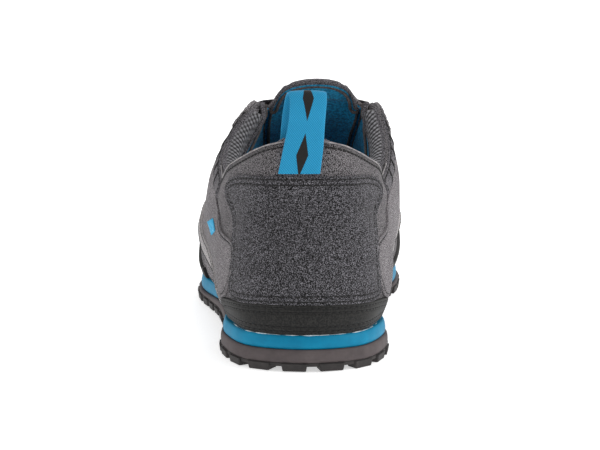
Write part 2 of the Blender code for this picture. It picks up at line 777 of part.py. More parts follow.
def side_panel(side, name):
    """Panel from the sole up the side. Its rear edge curves round behind the ankle."""
    rows = np.array([(0.0, 1.07), (0.25, 1.0), (0.5, 1.0), (0.7, 1.22), (0.86, 1.7), (1.0, 2.35)])
    up = np.linspace(0, 1, 7)[:, None]
    front = np.abs(at_index(side * 6.2)) - SEAM_GAP
    core = PANEL_REAR * 2.4
    base = columns_between(PANEL_REAR, front)
    if side < 0:
        base = -columns_between(-front, -PANEL_REAR)[::-1]
    base = np.append(base[(base < CAP_REACH - MM) | (base > CAP_REACH + 8 * MM)], CAP_REACH + ENDS)
    base = np.sort(base)[None, :]
    rear = PANEL_REAR * through(rows[:, 0], rows[:, 1], up)[..., 0]
    squeeze = (core - rear) / (core - PANEL_REAR)
    away = np.where(base < core, rear + (base - PANEL_REAR) * squeeze, base)
    s = side * away
    clear = np.clip((CAP_REACH + ENDS[1] - away) / (ENDS[1] - ENDS[0]), 0, 1)
    low = up_wall(s, 0.4 * MM + clear * (cap_top(s) + SEAM_GAP))
    index = np.abs(index_at(s))
    high = np.interp(index, [2, 3, 5, 7], np.array([5.0, 5.7, 4.7, 4.3]) / WALL_ROWS)
    mesh = overlay(name, s, low + (high - low) * up, OVERLAY, PANEL_GAP)
    return link(name, mesh, (0.11, 0.105, 0.108), 0.9)


def collar_padding():
    """Mesh-covered roll inside the collar, proud of its edge, from eyestay to eyestay."""
    s = columns_between(at_index(-4.85), at_index(4.85))
    wall = through(np.arange(6), PADDING, np.abs(index_at(s)))
    inside = UPPER_WALL + PANEL_GAP + GAP
    edge = np.full(s.shape, 0.998)
    at_edge, out = form(s, edge), form_normal(s, edge)
    along = np.gradient(at_edge, axis=0)
    up = unit(np.cross(out, unit(along)))
    up *= np.sign(up[:, 2:3])
    low = WALL_ROWS - PADDING_ROWS
    rows = [off_form(s, row / WALL_ROWS, -inside) for row in range(low, WALL_ROWS)]
    rows += [
        at_edge - out * inside + up * 0.7 * MM,
        at_edge - out * UPPER_WALL * 0.5 + up * 1.7 * MM,
        at_edge - out * (inside + wall * 0.45) + up * 2.3 * MM,
        at_edge - out * (inside + wall * 0.9) + up * 0.2 * MM,
    ]
    rows.append(off_form(s, (low + PADDING_ROWS / 2) / WALL_ROWS, -inside - wall[:, 0]))
    rows.append(off_form(s, low / WALL_ROWS, -inside - 1.2 * MM))
    grid = np.stack(rows)
    ring, count = grid.shape[0], grid.shape[1]
    faces = []
    for i in range(ring):
        for j in range(count - 1):
            a, b = i * count + j, ((i + 1) % ring) * count + j
            faces.append((a, a + 1, b + 1, b))
    faces.append([i * count for i in range(ring)][::-1])
    faces.append([i * count + count - 1 for i in range(ring)])
    mesh = mesh_from("collar_padding", grid.reshape(-1, 3), faces)
    return link("collar_padding", mesh, (0.10, 0.10, 0.10), 0.95)


def throat_line(index):
    """The form carried on over the throat at one station, as a fine line from the lateral to
    the medial side, with each place's distance from the middle and the edge's own distance."""
    sides, runs = {}, {}
    down = np.linspace(26 * MM, 0, 14)
    for side in (-1, 1):
        s = at_index(side * index)
        v, length = girth(s)
        sides[side] = form(s, np.interp(length[-1] - down, length, v))
        runs[side] = unit(sides[side][-1] - sides[side][-2])
    left, right = sides[-1][-1], sides[1][-1]
    width = np.linalg.norm(right - left)
    reach = width * np.interp(index, [COLLAR_FRONT, THROAT_FRONT], [0.15, 0.30])
    t = np.linspace(0, 1, 13)[1:-1, None]
    arch = bezier(left, left + runs[-1] * reach, right + runs[1] * reach, right, t)
    line = np.concatenate([sides[-1], arch, sides[1][::-1]])
    length = np.concatenate([[0.0], np.cumsum(np.linalg.norm(np.diff(line, axis=0), axis=1))])
    middle = length[len(length) // 2]
    return line, length - middle, length[-14] - middle


def over_throat(index, place):
    """A point over the throat, by station and distance from the middle line."""
    line, length, edge = throat_line(index)
    return np.array([np.interp(place, length, line[:, k]) for k in range(3)])


def throat_frame(index, place):
    """The point and its outward direction."""
    across = over_throat(index, place + 0.5 * MM) - over_throat(index, place - 0.5 * MM)
    ahead = over_throat(index + 0.02, place) - over_throat(index - 0.02, place)
    normal = unit(np.cross(across, ahead))
    return over_throat(index, place), normal * np.sign(normal[2])


def tongue():
    """Wide padded tongue under the throat, with a rounded top standing above the collar."""
    tops, bottoms = [], []
    hidden = UPPER_WALL + 1.0 * MM
    for index in (9.9, 9.3, 8.7, 8.0, 7.2, 6.4, 5.7, 5.2):
        edge = throat_line(index)[2]
        half = min(TONGUE_HALF, edge + 8 * MM)
        top, bottom = [], []
        for place in np.linspace(-half, half, 11):
            point, normal = throat_frame(index, place)
            inside = np.clip((edge - np.abs(place) - 2 * MM) / (8 * MM), 0, 1)
            depth = hidden - (hidden - 0.8 * MM) * inside
            top.append(point - normal * depth)
            bottom.append(point - normal * (depth + TONGUE_THICKNESS))
        tops.append(np.array(top))
        bottoms.append(np.array(bottom))
    share = np.abs(np.linspace(-1, 1, 11))[:, None]
    lean = unit(np.array([0.0, -0.70, 0.71]))
    for rise in (0.5, 1.0):
        lift = lean * TONGUE_RISE * rise * (1 - share**2.4)
        pinch = np.array([-1.0, 0.0, 0.0]) * tops[7][:, :1] * 0.15 * rise * share
        tops.append(tops[7] + lift + pinch)
        bottoms.append(bottoms[7] + lift + pinch)
    mesh = slab_from_grids("tongue", np.stack(tops), np.stack(bottoms))
    return link("tongue", mesh, (0.11, 0.105, 0.105), 0.9)


def eyelet_frame(s):
    """Centre of an eyelet on the upper's outer face, its outward axis and two cross axes."""
    v = down_wall(np.array([s]), np.array([EYELET_INSET]))
    centre, axis = form(np.array([s]), v)[0], form_normal(np.array([s]), v)[0]
    cross = unit(np.cross(axis, np.array([0.0, 0.0, 1.0])))
    return centre, axis, cross, np.cross(axis, cross)


def turned(name, profile, centre, axis, cross, up, sides=8):
    """A ring turned from a closed outline of (radius, height) pairs."""
    rows = []
    for radius, height in profile:
        angle = np.arange(sides) * 2 * math.pi / sides
        spoke = np.cos(angle)[:, None] * cross + np.sin(angle)[:, None] * up
        rows.append(centre + axis * height + spoke * radius)
    points = np.concatenate(rows)
    faces = []
    for i in range(len(profile)):
        for j in range(sides):
            a, b = i * sides, ((i + 1) % len(profile)) * sides
            k = (j + 1) % sides
            faces.append((a + j, a + k, b + k, b + j))
    return mesh_from(name, points, faces)


def eyelets_and_holes():
    """A ring for every eyelet, and the cutter for the holes under them."""
    foot = OVERLAY_GAP + OVERLAY + GAP
    profile = [
        (EYELET_HOLE, foot),
        (EYELET_HOLE, foot + EYELET_HEIGHT),
        (EYELET_RADIUS, foot + EYELET_HEIGHT * 0.4),
        (EYELET_RADIUS, foot),
    ]
    work = bmesh.new()
    for side, word in ((-1, "lateral"), (1, "medial")):
        for number, s in enumerate(eyelet_places(side), start=1):
            centre, axis, cross, up = eyelet_frame(s)
            name = f"eyelet_{word}_{number}"
            link(name, turned(name, profile, centre, axis, cross, up), (0.04, 0.04, 0.042), 0.35)
            angle = np.arange(6) * 2 * math.pi / 6
            spoke = (np.cos(angle)[:, None] * cross + np.sin(angle)[:, None] * up) * EYELET_HOLE
            prism(centre + spoke - axis * 5 * MM, centre + spoke + axis * 4 * MM, work)
    bmesh.ops.recalc_face_normals(work, faces=work.faces)
    mesh = bpy.data.meshes.new("lace_holes")
    work.to_mesh(mesh)
    work.free()
    tool = bpy.data.objects.new("lace_holes", mesh)
    bpy.context.scene.collection.objects.link(tool)
    tool.hide_render = True
    tool.display_type = "WIRE"
    return tool


def cut_holes(thing, tool):
    cut = thing.modifiers.new("lace_holes", "BOOLEAN")
    cut.operation = "DIFFERENCE"
    cut.solver = "EXACT"
    cut.object = tool


def lace_bar(start, end, over):
    """A flat strap over the throat between two eyelets, each a station and a side. over is how
    far it lies above the lowest strap, so that straps cross and do not share a face."""
    work = bmesh.new()
    line, ups = [], []
    for t in np.linspace(0, 1, 7):
        index = start[0] + (end[0] - start[0]) * t
        edge = throat_line(index)[2]
        place = (edge + EYELET_INSET) * (start[1] + (end[1] - start[1]) * t)
        point, normal = throat_frame(index, place)
        foot = OVERLAY_GAP + OVERLAY + 2 * GAP + LACE_THICKNESS / 2
        beyond = np.abs(place) - edge
        lift = np.interp(
            beyond,
            [-12 * MM, -3 * MM, EYELET_INSET - EYELET_RADIUS - MM],
            [LACE_LIFT, foot, foot + EYELET_HEIGHT + GAP],
        )
        line.append(point + normal * (lift + over))
        ups.append(normal)
    line, ups = np.array(line), np.array(ups)
    run = unit(np.gradient(line, axis=0))
    side = unit(np.cross(ups, run))
    half_w, half_t = side * LACE_WIDTH / 2, np.cross(run, side) * LACE_THICKNESS / 2
    corners = [line - half_w - half_t, line + half_w - half_t]
    corners += [line + half_w + half_t, line - half_w + half_t]
    rings = [[work.verts.new(p) for p in ring] for ring in np.stack(corners, axis=1)]
    for a, b in zip(rings, rings[1:]):
        for i in range(4):
            j = (i + 1) % 4
            work.faces.new((a[i], a[j], b[j], b[i]))
    work.faces.new(rings[0][::-1])
    work.faces.new(rings[-1])
    bmesh.ops.recalc_face_normals(work, faces=work.faces)
    mesh = bpy.data.meshes.new("lace_bar")
    work.to_mesh(mesh)
    work.free()
    return mesh


def laces():
    """Criss-cross lacing over the tongue, joined into one solid."""
    stations = np.abs(index_at(eyelet_places(1)))
    front = stations[-1]
    pieces = [lace_bar((front, -1), (front, 1), LACE_OVER / 2)]
    for here, ahead in zip(stations, stations[1:]):
        pieces.append(lace_bar((here, -1), (ahead, 1), 0.0))
        pieces.append(lace_bar((here, 1), (ahead, -1), LACE_OVER))
    thing = link("laces", pieces[0], (0.03, 0.03, 0.033), 0.8)
    for number, mesh in enumerate(pieces[1:], start=1):
        tool = bpy.data.objects.new(f"lace_bar_{number}", mesh)
        bpy.context.scene.collection.objects.link(tool)
        tool.hide_render = True
        tool.display_type = "WIRE"
        union = thing.modifiers.new(tool.name, "BOOLEAN")
        union.operation = "UNION"
        union.solver = "EXACT"
        union.object = tool
    return thing


def pull_loop():
    """Webbing loop at the back of the collar: up the outside, over, and down the inside."""
    foot_v = up_wall(np.array([0.0]), np.array([COUNTER_TOP + SEAM_GAP]))
    out = GAP + LOOP_THICKNESS / 2
    foot = off_form(np.array([0.0]), foot_v, out)[0]
    edge = form(np.array([0.0]), np.array([1.0]))[0]
    inside = UPPER_WALL + 2 * GAP + PADDING[0] + LOOP_THICKNESS / 2 + 0.5 * MM
    high = edge[2] + LOOP_RISE
    back = edge[1] - out
    front = edge[1] + inside
    middle = 0.5 * (back + front)
    rows = [
        (foot[1], foot[2]),
        (back - 0.6 * MM, edge[2] - 2 * MM),
        (back - 1.0 * MM, edge[2] + LOOP_RISE * 0.35),
        (back - 0.4 * MM, high - 4 * MM),
        (middle - 2.2 * MM, high),
        (middle + 2.4 * MM, high - 1.2 * MM),
        (front + 0.8 * MM, high - 7 * MM),
        (front + 0.6 * MM, edge[2] + 4 * MM),
        (front + 0.8 * MM, edge[2] - LOOP_LEG * 0.5),
    ]
    line = np.array([(0.0, y, z) for y, z in rows])
    lengths = np.concatenate([[0.0], np.cumsum(np.linalg.norm(np.diff(line, axis=0), axis=1))])
    at = np.linspace(0, lengths[-1], 21)
    line = through(lengths, line, at)
    run = unit(np.gradient(line, axis=0))
    normal = np.cross(run, np.array([1.0, 0.0, 0.0]))
    lean = 2.5 * MM * np.sin(np.pi * at / lengths[-1]) - 2.9 * MM
    across = np.array([1.0, 0.0, 0.0])
    grids = []
    for offset in (-0.5, 0.5):
        rows = [
            line + across * (side * LOOP_WIDTH / 2 + lean[:, None]) + normal * offset * LOOP_THICKNESS
            for side in (-1, 0, 1)
        ]
        grids.append(np.stack(rows))
    mesh = slab_from_grids("pull_loop", grids[0], grids[1])
    return link("pull_loop", mesh, (0.03, 0.32, 0.55), 0.8)


def centre_on_box():
    """Move every piece so that the origin lies under the middle of the whole shoe."""
    bpy.context.view_layer.update()
    graph = bpy.context.evaluated_depsgraph_get()
    corners = []
    for thing in bpy.context.scene.objects:
        if thing.type == "MESH" and not thing.hide_render:
            shape = thing.evaluated_get(graph)
            mesh = shape.to_mesh()
            spots = np.zeros(len(mesh.vertices) * 3)
            mesh.vertices.foreach_get("co", spots)
            spots = spots.reshape(-1, 3)
            corners += [spots.min(axis=0), spots.max(axis=0)]
            shape.to_mesh_clear()
    low, high = np.min(corners, axis=0), np.max(corners, axis=0)
    shift = (-(low[0] + high[0]) / 2, -(low[1] + high[1]) / 2, -low[2])
    for thing in bpy.context.scene.objects:
        if thing.type == "MESH":
            thing.data.transform(Matrix.Translation(shift))


def build():
    for thing in list(bpy.data.objects):
        bpy.data.objects.remove(thing)
    around = loop_columns(SOLE_STEPS)[1]
    outsole(around)
    midsole_lower(around)
    midsole_upper(around)
    insole(around)
    shell = upper(*loop_columns(STATION_STEPS))
    counter()
    heel_cap()
    toe_rand()
    facings = [eyestay(-1, "eyestay_lateral"), eyestay(1, "eyestay_medial")]
    side_panel(-1, "side_panel_lateral")
    side_panel(1, "side_panel_medial")
    collar_padding()
    tongue()
    holes = eyelets_and_holes()
    for thing in [shell, *facings]:
        cut_holes(thing, holes)
    laces()
    pull_loop()
    centre_on_box()


build()
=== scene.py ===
import math

import bpy
import numpy as np
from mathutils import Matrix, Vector
from mathutils.geometry import delaunay_2d_cdt


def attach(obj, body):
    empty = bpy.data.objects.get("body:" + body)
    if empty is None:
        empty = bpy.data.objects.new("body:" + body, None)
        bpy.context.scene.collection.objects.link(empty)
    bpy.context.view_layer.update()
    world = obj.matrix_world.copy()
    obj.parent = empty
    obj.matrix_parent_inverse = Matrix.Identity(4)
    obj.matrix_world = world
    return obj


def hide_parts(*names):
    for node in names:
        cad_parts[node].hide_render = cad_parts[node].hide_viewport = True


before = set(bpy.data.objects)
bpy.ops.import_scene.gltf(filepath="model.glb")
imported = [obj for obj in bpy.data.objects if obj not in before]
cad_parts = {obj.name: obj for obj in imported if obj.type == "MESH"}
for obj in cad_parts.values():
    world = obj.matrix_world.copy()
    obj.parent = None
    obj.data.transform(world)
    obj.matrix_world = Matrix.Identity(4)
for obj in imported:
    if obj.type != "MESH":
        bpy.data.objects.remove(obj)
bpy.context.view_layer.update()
mm = 0.001

print("stage: the form of the shoe")

last = {
    "length": 275 * mm,
    "ballWidth": 93 * mm,
    "collarHeight": 83 * mm,
    "heelPlace": (2.12 * mm, -137.45 * mm, 0.0),  # where the back of the heel lies in the frame
    "wall": 2.2 * mm,
    "widestAt": 0.3,  # share of the wall's run where its two curves meet
    "toeSpring": 12 * mm,
    "lugDepth": 2.0 * mm,
    "outsoleSheet": 1.6 * mm,
    "lowerFoam": 5.5 * mm,
    "upperFoam": 5.7 * mm,
    "rim": 3.2 * mm,
    "gap": 0.3 * mm,
}

# One row per station, heel back to toe tip. along and topAlong are shares of the length, across,
# bulge and topAcross of the ball width, swell and topUp of the collar height.
columnNames = (
    "along", "across", "rim", "bulge", "swell", "topAlong", "topAcross", "topUp", "roof", "pitch",
)
lateralStations = [
    (0.000, 0.000, 1.20, 0.032, 0.29, 0.024, 0.000, 1.000, 0.14, 0.0),
    (0.030, 0.237, 1.10, 0.034, 0.27, 0.034, 0.172, 0.976, 0.12, 0.0),
    (0.120, 0.355, 0.95, 0.032, 0.17, 0.130, 0.344, 0.843, 0.04, 0.0),
    (0.262, 0.360, 0.90, 0.075, 0.36, 0.270, 0.390, 0.732, 0.20, 0.0),
    (0.335, 0.376, 0.85, 0.088, 0.43, 0.346, 0.362, 0.865, 0.50, 0.0),
    (0.393, 0.398, 0.85, 0.088, 0.46, 0.411, 0.242, 1.050, 0.66, 0.0),
    (0.495, 0.457, 0.90, 0.066, 0.36, 0.487, 0.232, 0.945, 0.66, 0.0),
    (0.604, 0.521, 1.00, 0.028, 0.17, 0.589, 0.215, 0.775, 0.64, 0.0),
    (0.698, 0.518, 1.00, 0.022, 0.13, 0.684, 0.156, 0.620, 0.78, -0.1),
    (0.778, 0.484, 1.05, 0.022, 0.12, 0.738, 0.011, 0.545, 1.00, -0.35),
    (0.898, 0.355, 1.10, 0.022, 0.11, 0.822, 0.043, 0.415, 1.00, -0.36),
    (0.971, 0.151, 1.15, 0.022, 0.11, 0.873, 0.065, 0.345, 1.00, -0.34),
    (1.000, -0.075, 1.15, 0.022, 0.10, 0.895, 0.075, 0.310, 1.00, -0.33),
]
medialStations = [
    lateralStations[0],
    (0.030, 0.237, 1.10, 0.034, 0.27, 0.034, 0.172, 0.976, 0.12, 0.0),
    (0.120, 0.355, 0.95, 0.032, 0.19, 0.130, 0.333, 0.849, 0.04, 0.0),
    (0.262, 0.323, 0.70, 0.097, 0.41, 0.270, 0.371, 0.742, 0.20, 0.0),
    (0.335, 0.301, 0.55, 0.145, 0.48, 0.346, 0.385, 0.880, 0.55, 0.0),
    (0.400, 0.296, 0.50, 0.170, 0.51, 0.411, 0.345, 1.050, 0.70, 0.0),
    (0.516, 0.333, 0.60, 0.125, 0.41, 0.487, 0.290, 0.945, 0.66, 0.0),
    (0.662, 0.462, 0.85, 0.038, 0.19, 0.589, 0.237, 0.775, 0.64, 0.0),
    (0.749, 0.478, 1.00, 0.022, 0.14, 0.684, 0.183, 0.620, 0.78, -0.1),
    (0.829, 0.446, 1.00, 0.022, 0.12, 0.738, 0.011, 0.545, 1.00, -0.35),
    (0.927, 0.355, 1.05, 0.022, 0.11, 0.822, 0.043, 0.415, 1.00, -0.36),
    (0.982, 0.215, 1.10, 0.022, 0.11, 0.873, 0.065, 0.345, 1.00, -0.34),
    (1.000, 0.075, 1.15, 0.022, 0.10, 0.895, 0.075, 0.310, 1.00, -0.33),
]
collarFront, throatFront, toe = 5, 9, 12

# Rows of the sole: lift is a share of the toe spring, lower and upper of the two foams
soleRows = np.array([
    (-0.020, 0.030, 0.98, 1.00),
    (0.030, 0.000, 1.00, 1.00),
    (0.240, 0.000, 0.88, 0.95),
    (0.400, 0.115, 0.60, 0.95),
    (0.560, 0.000, 0.33, 1.05),
    (0.700, 0.000, 0.22, 1.10),
    (0.800, 0.120, 0.20, 1.05),
    (0.920, 0.520, 0.20, 0.95),
    (1.020, 1.000, 0.20, 0.90),
])


def unit(vectors):
    return vectors / np.maximum(np.linalg.norm(vectors, axis=-1, keepdims=True), 1e-12)


def runLengths(line):
    # How far along a line of points each of them lies
    return np.concatenate([[0.0], np.cumsum(np.linalg.norm(np.diff(line, axis=0), axis=1))])


def readAlong(line, lengths, at):
    return np.stack([np.interp(at, lengths, column) for column in line.T], axis=1)


def hermite(knots, values, slope, at):
    i = np.clip(np.searchsorted(knots, at, side="right") - 1, 0, len(knots) - 2)
    h = (knots[i + 1] - knots[i])[..., None]
    t = (at - knots[i])[..., None] / h
    return (
        (2 * t**3 - 3 * t**2 + 1) * values[i]
        + (t**3 - 2 * t**2 + t) * h * slope[i]
        + (3 * t**2 - 2 * t**3) * values[i + 1]
        + (t**3 - t**2) * h * slope[i + 1]
    )


def through(knots, values, at, closed=False):
    # A smooth curve through the rows of a table, read at many places
    knots, at = np.asarray(knots, float), np.asarray(at, float)
    values = np.asarray(values, float).reshape(len(knots), -1)
    if closed:
        period = knots[-1] - knots[0]
        at = knots[0] + np.mod(at - knots[0], period)
        k = np.concatenate([[knots[-2] - period], knots, [knots[1] + period]])
        v = np.vstack([values[-2], values, values[1]])
    else:
        k = np.concatenate([[2 * knots[0] - knots[1]], knots, [2 * knots[-1] - knots[-2]]])
        v = np.vstack([2 * values[0] - values[1], values, 2 * values[-1] - values[-2]])
    h = np.diff(k)[:, None]
    d = np.diff(v, axis=0) / h
    slope = (d[:-1] * h[1:] + d[1:] * h[:-1]) / (h[:-1] + h[1:])
    return hermite(knots, values, slope, at)


def steady(knots, values, at):
    # As through, but it never passes above or below the rows on either side
    knots, at = np.asarray(knots, float), np.asarray(at, float)
    values = np.asarray(values, float).reshape(len(knots), 1)
    d = np.diff(values, axis=0) / np.diff(knots)[:, None]
    before, after = d[:-1], d[1:]
    sameWay = before * after > 0
    inner = np.where(sameWay, 2 * before * after / np.where(sameWay, before + after, 1.0), 0.0)
    slope = np.vstack([d[:1], inner, d[-1:]])
    return hermite(knots, values, slope, np.clip(at, knots[0], knots[-1]))[..., 0]


def smoothStep(low, high, value):
    t = np.clip((value - low) / (high - low), 0, 1)
    return t * t * (3 - 2 * t)


stations = {
    name: np.array([row[i] for row in lateralStations[::-1] + medialStations[1:]])
    for i, name in enumerate(columnNames)
}
stationIndex = np.arange(-toe, toe + 1)
stationSide = np.sign(stationIndex).astype(float)
featherPoints = np.stack(
    [stations["across"] * stationSide * last["ballWidth"], stations["along"] * last["length"]], axis=1
)
featherPoints[0] = featherPoints[-1]
roundAt = runLengths(featherPoints)
roundAt -= roundAt[toe]
perimeter = roundAt[-1] - roundAt[0]


def soleHeight(column, y, full):
    return steady(soleRows[:, 0], soleRows[:, column], y / last["length"]) * full


def groundLift(y):
    return soleHeight(1, y, last["toeSpring"])


def outsoleTop(y):
    return groundLift(y) + last["lugDepth"] + last["outsoleSheet"]


def lowerFoamTop(y):
    return outsoleTop(y) + last["gap"] + soleHeight(2, y, last["lowerFoam"])


def soleTop(y):
    return lowerFoamTop(y) + last["gap"] + soleHeight(3, y, last["upperFoam"])


def roundOf(index):
    # Distance round the foot of a station index, negative on the lateral side
    return np.interp(index, stationIndex, roundAt)


def wrapped(s):
    return roundAt[0] + np.mod(np.asarray(s, float) - roundAt[0], perimeter)


def indexOf(s):
    return np.interp(wrapped(s), roundAt, stationIndex)


def stationValue(column, s):
    return through(roundAt, stations[column], s, closed=True)[..., 0]


def feather(s):
    # The line where the upper meets the sole, in plan, and its outward direction
    point = through(roundAt, featherPoints, s, closed=True)
    strain = 0.1 * mm
    ahead = through(roundAt, featherPoints, s + strain, closed=True)
    behind = through(roundAt, featherPoints, s - strain, closed=True)
    run = unit(ahead - behind)
    return point, np.stack([run[..., 1], -run[..., 0]], axis=-1)


def topEdge(s):
    # Collar and throat edge, and ahead of the throat the ridge where both sides join
    s = wrapped(s)
    index = indexOf(s)
    rows = np.stack(
        [
            stations["topAcross"] * stationSide * last["ballWidth"],
            stations["topAlong"] * last["length"],
            stations["topUp"] * last["collarHeight"],
        ],
        axis=1,
    )
    rows[stationIndex == -throatFront, 0] *= -1
    keep = np.abs(stationIndex) <= throatFront
    edge = through(roundAt[keep], rows[keep], s)
    ridgeRows = rows[stationIndex >= throatFront]
    ridge = through(np.arange(throatFront, toe + 1), ridgeRows, np.abs(index))
    point = np.where((np.abs(index) >= throatFront)[..., None], ridge, edge)
    point[..., 2] += soleTop(point[..., 1])
    return point


def bezier(a, b, c, d, t):
    return (1 - t) ** 3 * a + 3 * (1 - t) ** 2 * t * b + 3 * (1 - t) * t**2 * c + t**3 * d


def form(s, v):
    # Outer face of the bare upper: s is the distance round, v runs from the sole to the top edge
    s, v = np.broadcast_arrays(np.asarray(s, float), np.asarray(v, float))
    plan, outward = feather(s)
    base = np.concatenate([plan, (soleTop(plan[..., 1]) + last["gap"])[..., None]], axis=-1)
    side = np.concatenate([outward, np.zeros_like(outward[..., :1])], axis=-1)
    bulge = (stationValue("bulge", s) * last["ballWidth"])[..., None]
    swell = (stationValue("swell", s) * last["collarHeight"])[..., None]
    up = np.array([0.0, 0.0, 1.0])
    widest = base + side * bulge + up * swell
    top = topEdge(s)
    roof = np.clip(stationValue("roof", s), 0, 1)[..., None] * math.pi / 2
    pitch = stationValue("pitch", s)[..., None]
    reach = widest - top
    flat = reach * np.array([1.0, 1.0, 0.0]) + up * pitch * reach[..., 1:2]
    handle = np.sin(roof) * flat + np.cos(roof) * up * reach[..., 2:3]
    split = last["widestAt"]
    low = np.clip(v / split, 0, 1)[..., None]
    high = np.clip((v - split) / (1 - split), 0, 1)[..., None]
    lower = bezier(
        base,
        base + side * bulge * 0.6 + up * swell * 0.25,
        widest - up * swell * 0.45,
        widest,
        low,
    )
    quarterArc = 0.5523  # handle of a curve that stands for a quarter of an ellipse
    upper = bezier(
        widest, widest - up * reach[..., 2:3] * quarterArc, top + handle * quarterArc, top, high
    )
    return np.where((v <= split)[..., None], lower, upper)


def formNormal(s, v):
    dv, ds = 0.004, 0.1 * mm
    v = np.clip(v, dv, 1 - 3 * dv)
    return unit(np.cross(form(s + ds, v) - form(s - ds, v), form(s, v + dv) - form(s, v - dv)))


def measureWalls():
    # How long the wall is at each place round, and which v lies each millimetre up it
    v = np.linspace(0, 1, 81)
    steps = np.linspace(roundAt[0], roundAt[-1], 721)
    points = form(steps[:, None], v[None, :])
    lengths = np.cumsum(np.linalg.norm(np.diff(points, axis=1), axis=2), axis=1)
    lengths = np.concatenate([np.zeros((len(steps), 1)), lengths], axis=1)
    reaches = np.arange(160) * mm
    return steps, lengths[:, -1], np.array([np.interp(reaches, row, v) for row in lengths])


wallSteps, wallTotals, wallPlaces = measureWalls()


def upWall(s, distance):
    # The v that lies a distance up the wall from the sole
    s, distance = np.broadcast_arrays(np.asarray(s, float), np.asarray(distance, float))
    across = (wrapped(s) - wallSteps[0]) / (wallSteps[1] - wallSteps[0])
    up = np.clip(distance / mm, 0, wallPlaces.shape[1] - 1.001)
    i, j = np.clip(across.astype(int), 0, len(wallSteps) - 2), up.astype(int)
    a, b = across - i, up - j
    near = wallPlaces[i, j] * (1 - b) + wallPlaces[i, j + 1] * b
    far = wallPlaces[i + 1, j] * (1 - b) + wallPlaces[i + 1, j + 1] * b
    return near * (1 - a) + far * a


def wallLength(s):
    return np.interp(wrapped(s), wallSteps, wallTotals)


# Main creases: station, share of the wall, half length in stations, half length
# up the wall, lean, depth
creases = {
    "ankleOuter": (-2.75, 0.56, 0.95, 0.045, 0.16, 0.55 * mm),
    "ankleInner": (2.65, 0.58, 0.90, 0.045, 0.15, 0.50 * mm),
    "heelOuter": (-1.55, 0.78, 0.60, 0.035, 0.10, 0.40 * mm),
    "heelInner": (1.60, 0.76, 0.60, 0.035, 0.10, 0.35 * mm),
    "waistOuter": (-4.6, 0.42, 0.90, 0.050, -0.20, 0.50 * mm),
    "waistInner": (4.4, 0.40, 0.80, 0.050, -0.20, 0.45 * mm),
}
flexLines = ((8.35, 0.55 * mm), (8.95, 0.70 * mm), (9.55, 0.45 * mm))  # station and depth
collarFlare = 2.4 * mm  # how far the padded collar stands out under the ankle
waistHollow = 2.6 * mm  # how far the outer side draws in over the ball's rear
heelUndercut = 1.5 * mm  # how far the heel's sides draw in just above the sole


def relief(s, v):
    # How far the leather stands off the bare form: padding, creases and slight unevenness
    index = indexOf(s)
    collar = 1 - smoothStep(4.0, 4.9, np.abs(index))
    rise = 1.5 * mm * collar * np.sin(np.pi * np.clip((v - 0.70) / 0.30, 0, 1)) ** 1.3
    for station, place, halfRun, halfUp, lean, depth in creases.values():
        along = (index - station) / halfRun
        across = (v - place - lean * (index - station) * np.sign(station) * 0.5) / halfUp
        fold = np.exp(-across**2) - 0.6 * np.exp(-(across - 1.6) ** 2)  # a valley and its ridge
        rise = rise - depth * np.exp(-along**2 * 1.6) * fold
    for station, depth in flexLines:
        bend = station + 0.25 * np.sin(3.0 * v)
        near = (np.abs(index) - bend) / 0.16
        rise = rise - depth * np.exp(-near**2) * smoothStep(0.25, 0.75, v)
    wander = (
        np.sin(s / (11 * mm) + 2.1 * v) * np.sin(7.0 * v + s / (29 * mm))
        + 0.6 * np.sin(s / (5.3 * mm) - 5.0 * v + 1.7) * np.sin(13.0 * v + 0.4)
    )
    back = np.abs(index)
    flare = collarFlare * smoothStep(2.3, 3.5, back) * (1 - smoothStep(4.6, 6.4, back))
    side = np.exp(-(((back - 1.9) / 0.75) ** 2)) * (1 - smoothStep(0.0, 0.4, v))
    waist = np.exp(-(((index + 6.0) / 0.8) ** 2) - ((v - 0.5) / 0.22) ** 2)
    hollow = heelUndercut * side + waistHollow * waist
    uneven = 0.12 * mm * wander * smoothStep(0.0, 0.12, v)
    return rise + flare * smoothStep(0.5, 0.95, v) - hollow + uneven


def skin(s, v, height=0.0):
    # A place the given height off the leather's face
    s, v = np.broadcast_arrays(np.asarray(s, float), np.asarray(v, float))
    return form(s, v) + formNormal(s, v) * (relief(s, v) + height)[..., None]


print("stage: camera, floor and light")

view = {
    "back": 1050 * mm,  # from the heel to the lens
    "height": 235 * mm,
    "aim": 63.5 * mm,  # height on the heel that lies in the middle of the picture
    "lens": 149.8,
}


def placeCamera():
    camera = bpy.data.objects.new("photoCamera", bpy.data.cameras.new("photoCamera"))
    camera.data.lens = view["lens"]
    camera.data.clip_start = 0.05
    camera.location = (0.0, last["heelPlace"][1] - view["back"], view["height"])
    aim = Vector((0.0, last["heelPlace"][1], view["aim"]))
    camera.rotation_euler = (aim - camera.location).to_track_quat("-Z", "Y").to_euler()
    bpy.context.scene.collection.objects.link(camera)
    bpy.context.scene.camera = camera


def addNode(tree, kind, settings, links=()):
    # One node with its settings and its incoming links, given as (socket, source) pairs
    node = tree.nodes.new(kind)
    for name, value in settings.items():
        if name == "stops":
            ramp = node.color_ramp
            for _ in range(len(value) - 2):
                ramp.elements.new(0.5)
            for element, (position, colour) in zip(ramp.elements, value):
                element.position, element.color = position, colour
        elif isinstance(name, str) and hasattr(node, name):
            setattr(node, name, value)
        else:
            node.inputs[name].default_value = value
    for socket, source in links:
        tree.links.new(source, node.inputs[socket])
    return node


def linear(hexColour):
    # An sRGB hex colour as linear red, green, blue and full cover
    parts = [int(hexColour[i : i + 2], 16) / 255 for i in (1, 3, 5)]
    return tuple(c / 12.92 if c <= 0.04045 else ((c + 0.055) / 1.055) ** 2.4 for c in parts) + (1.0,)


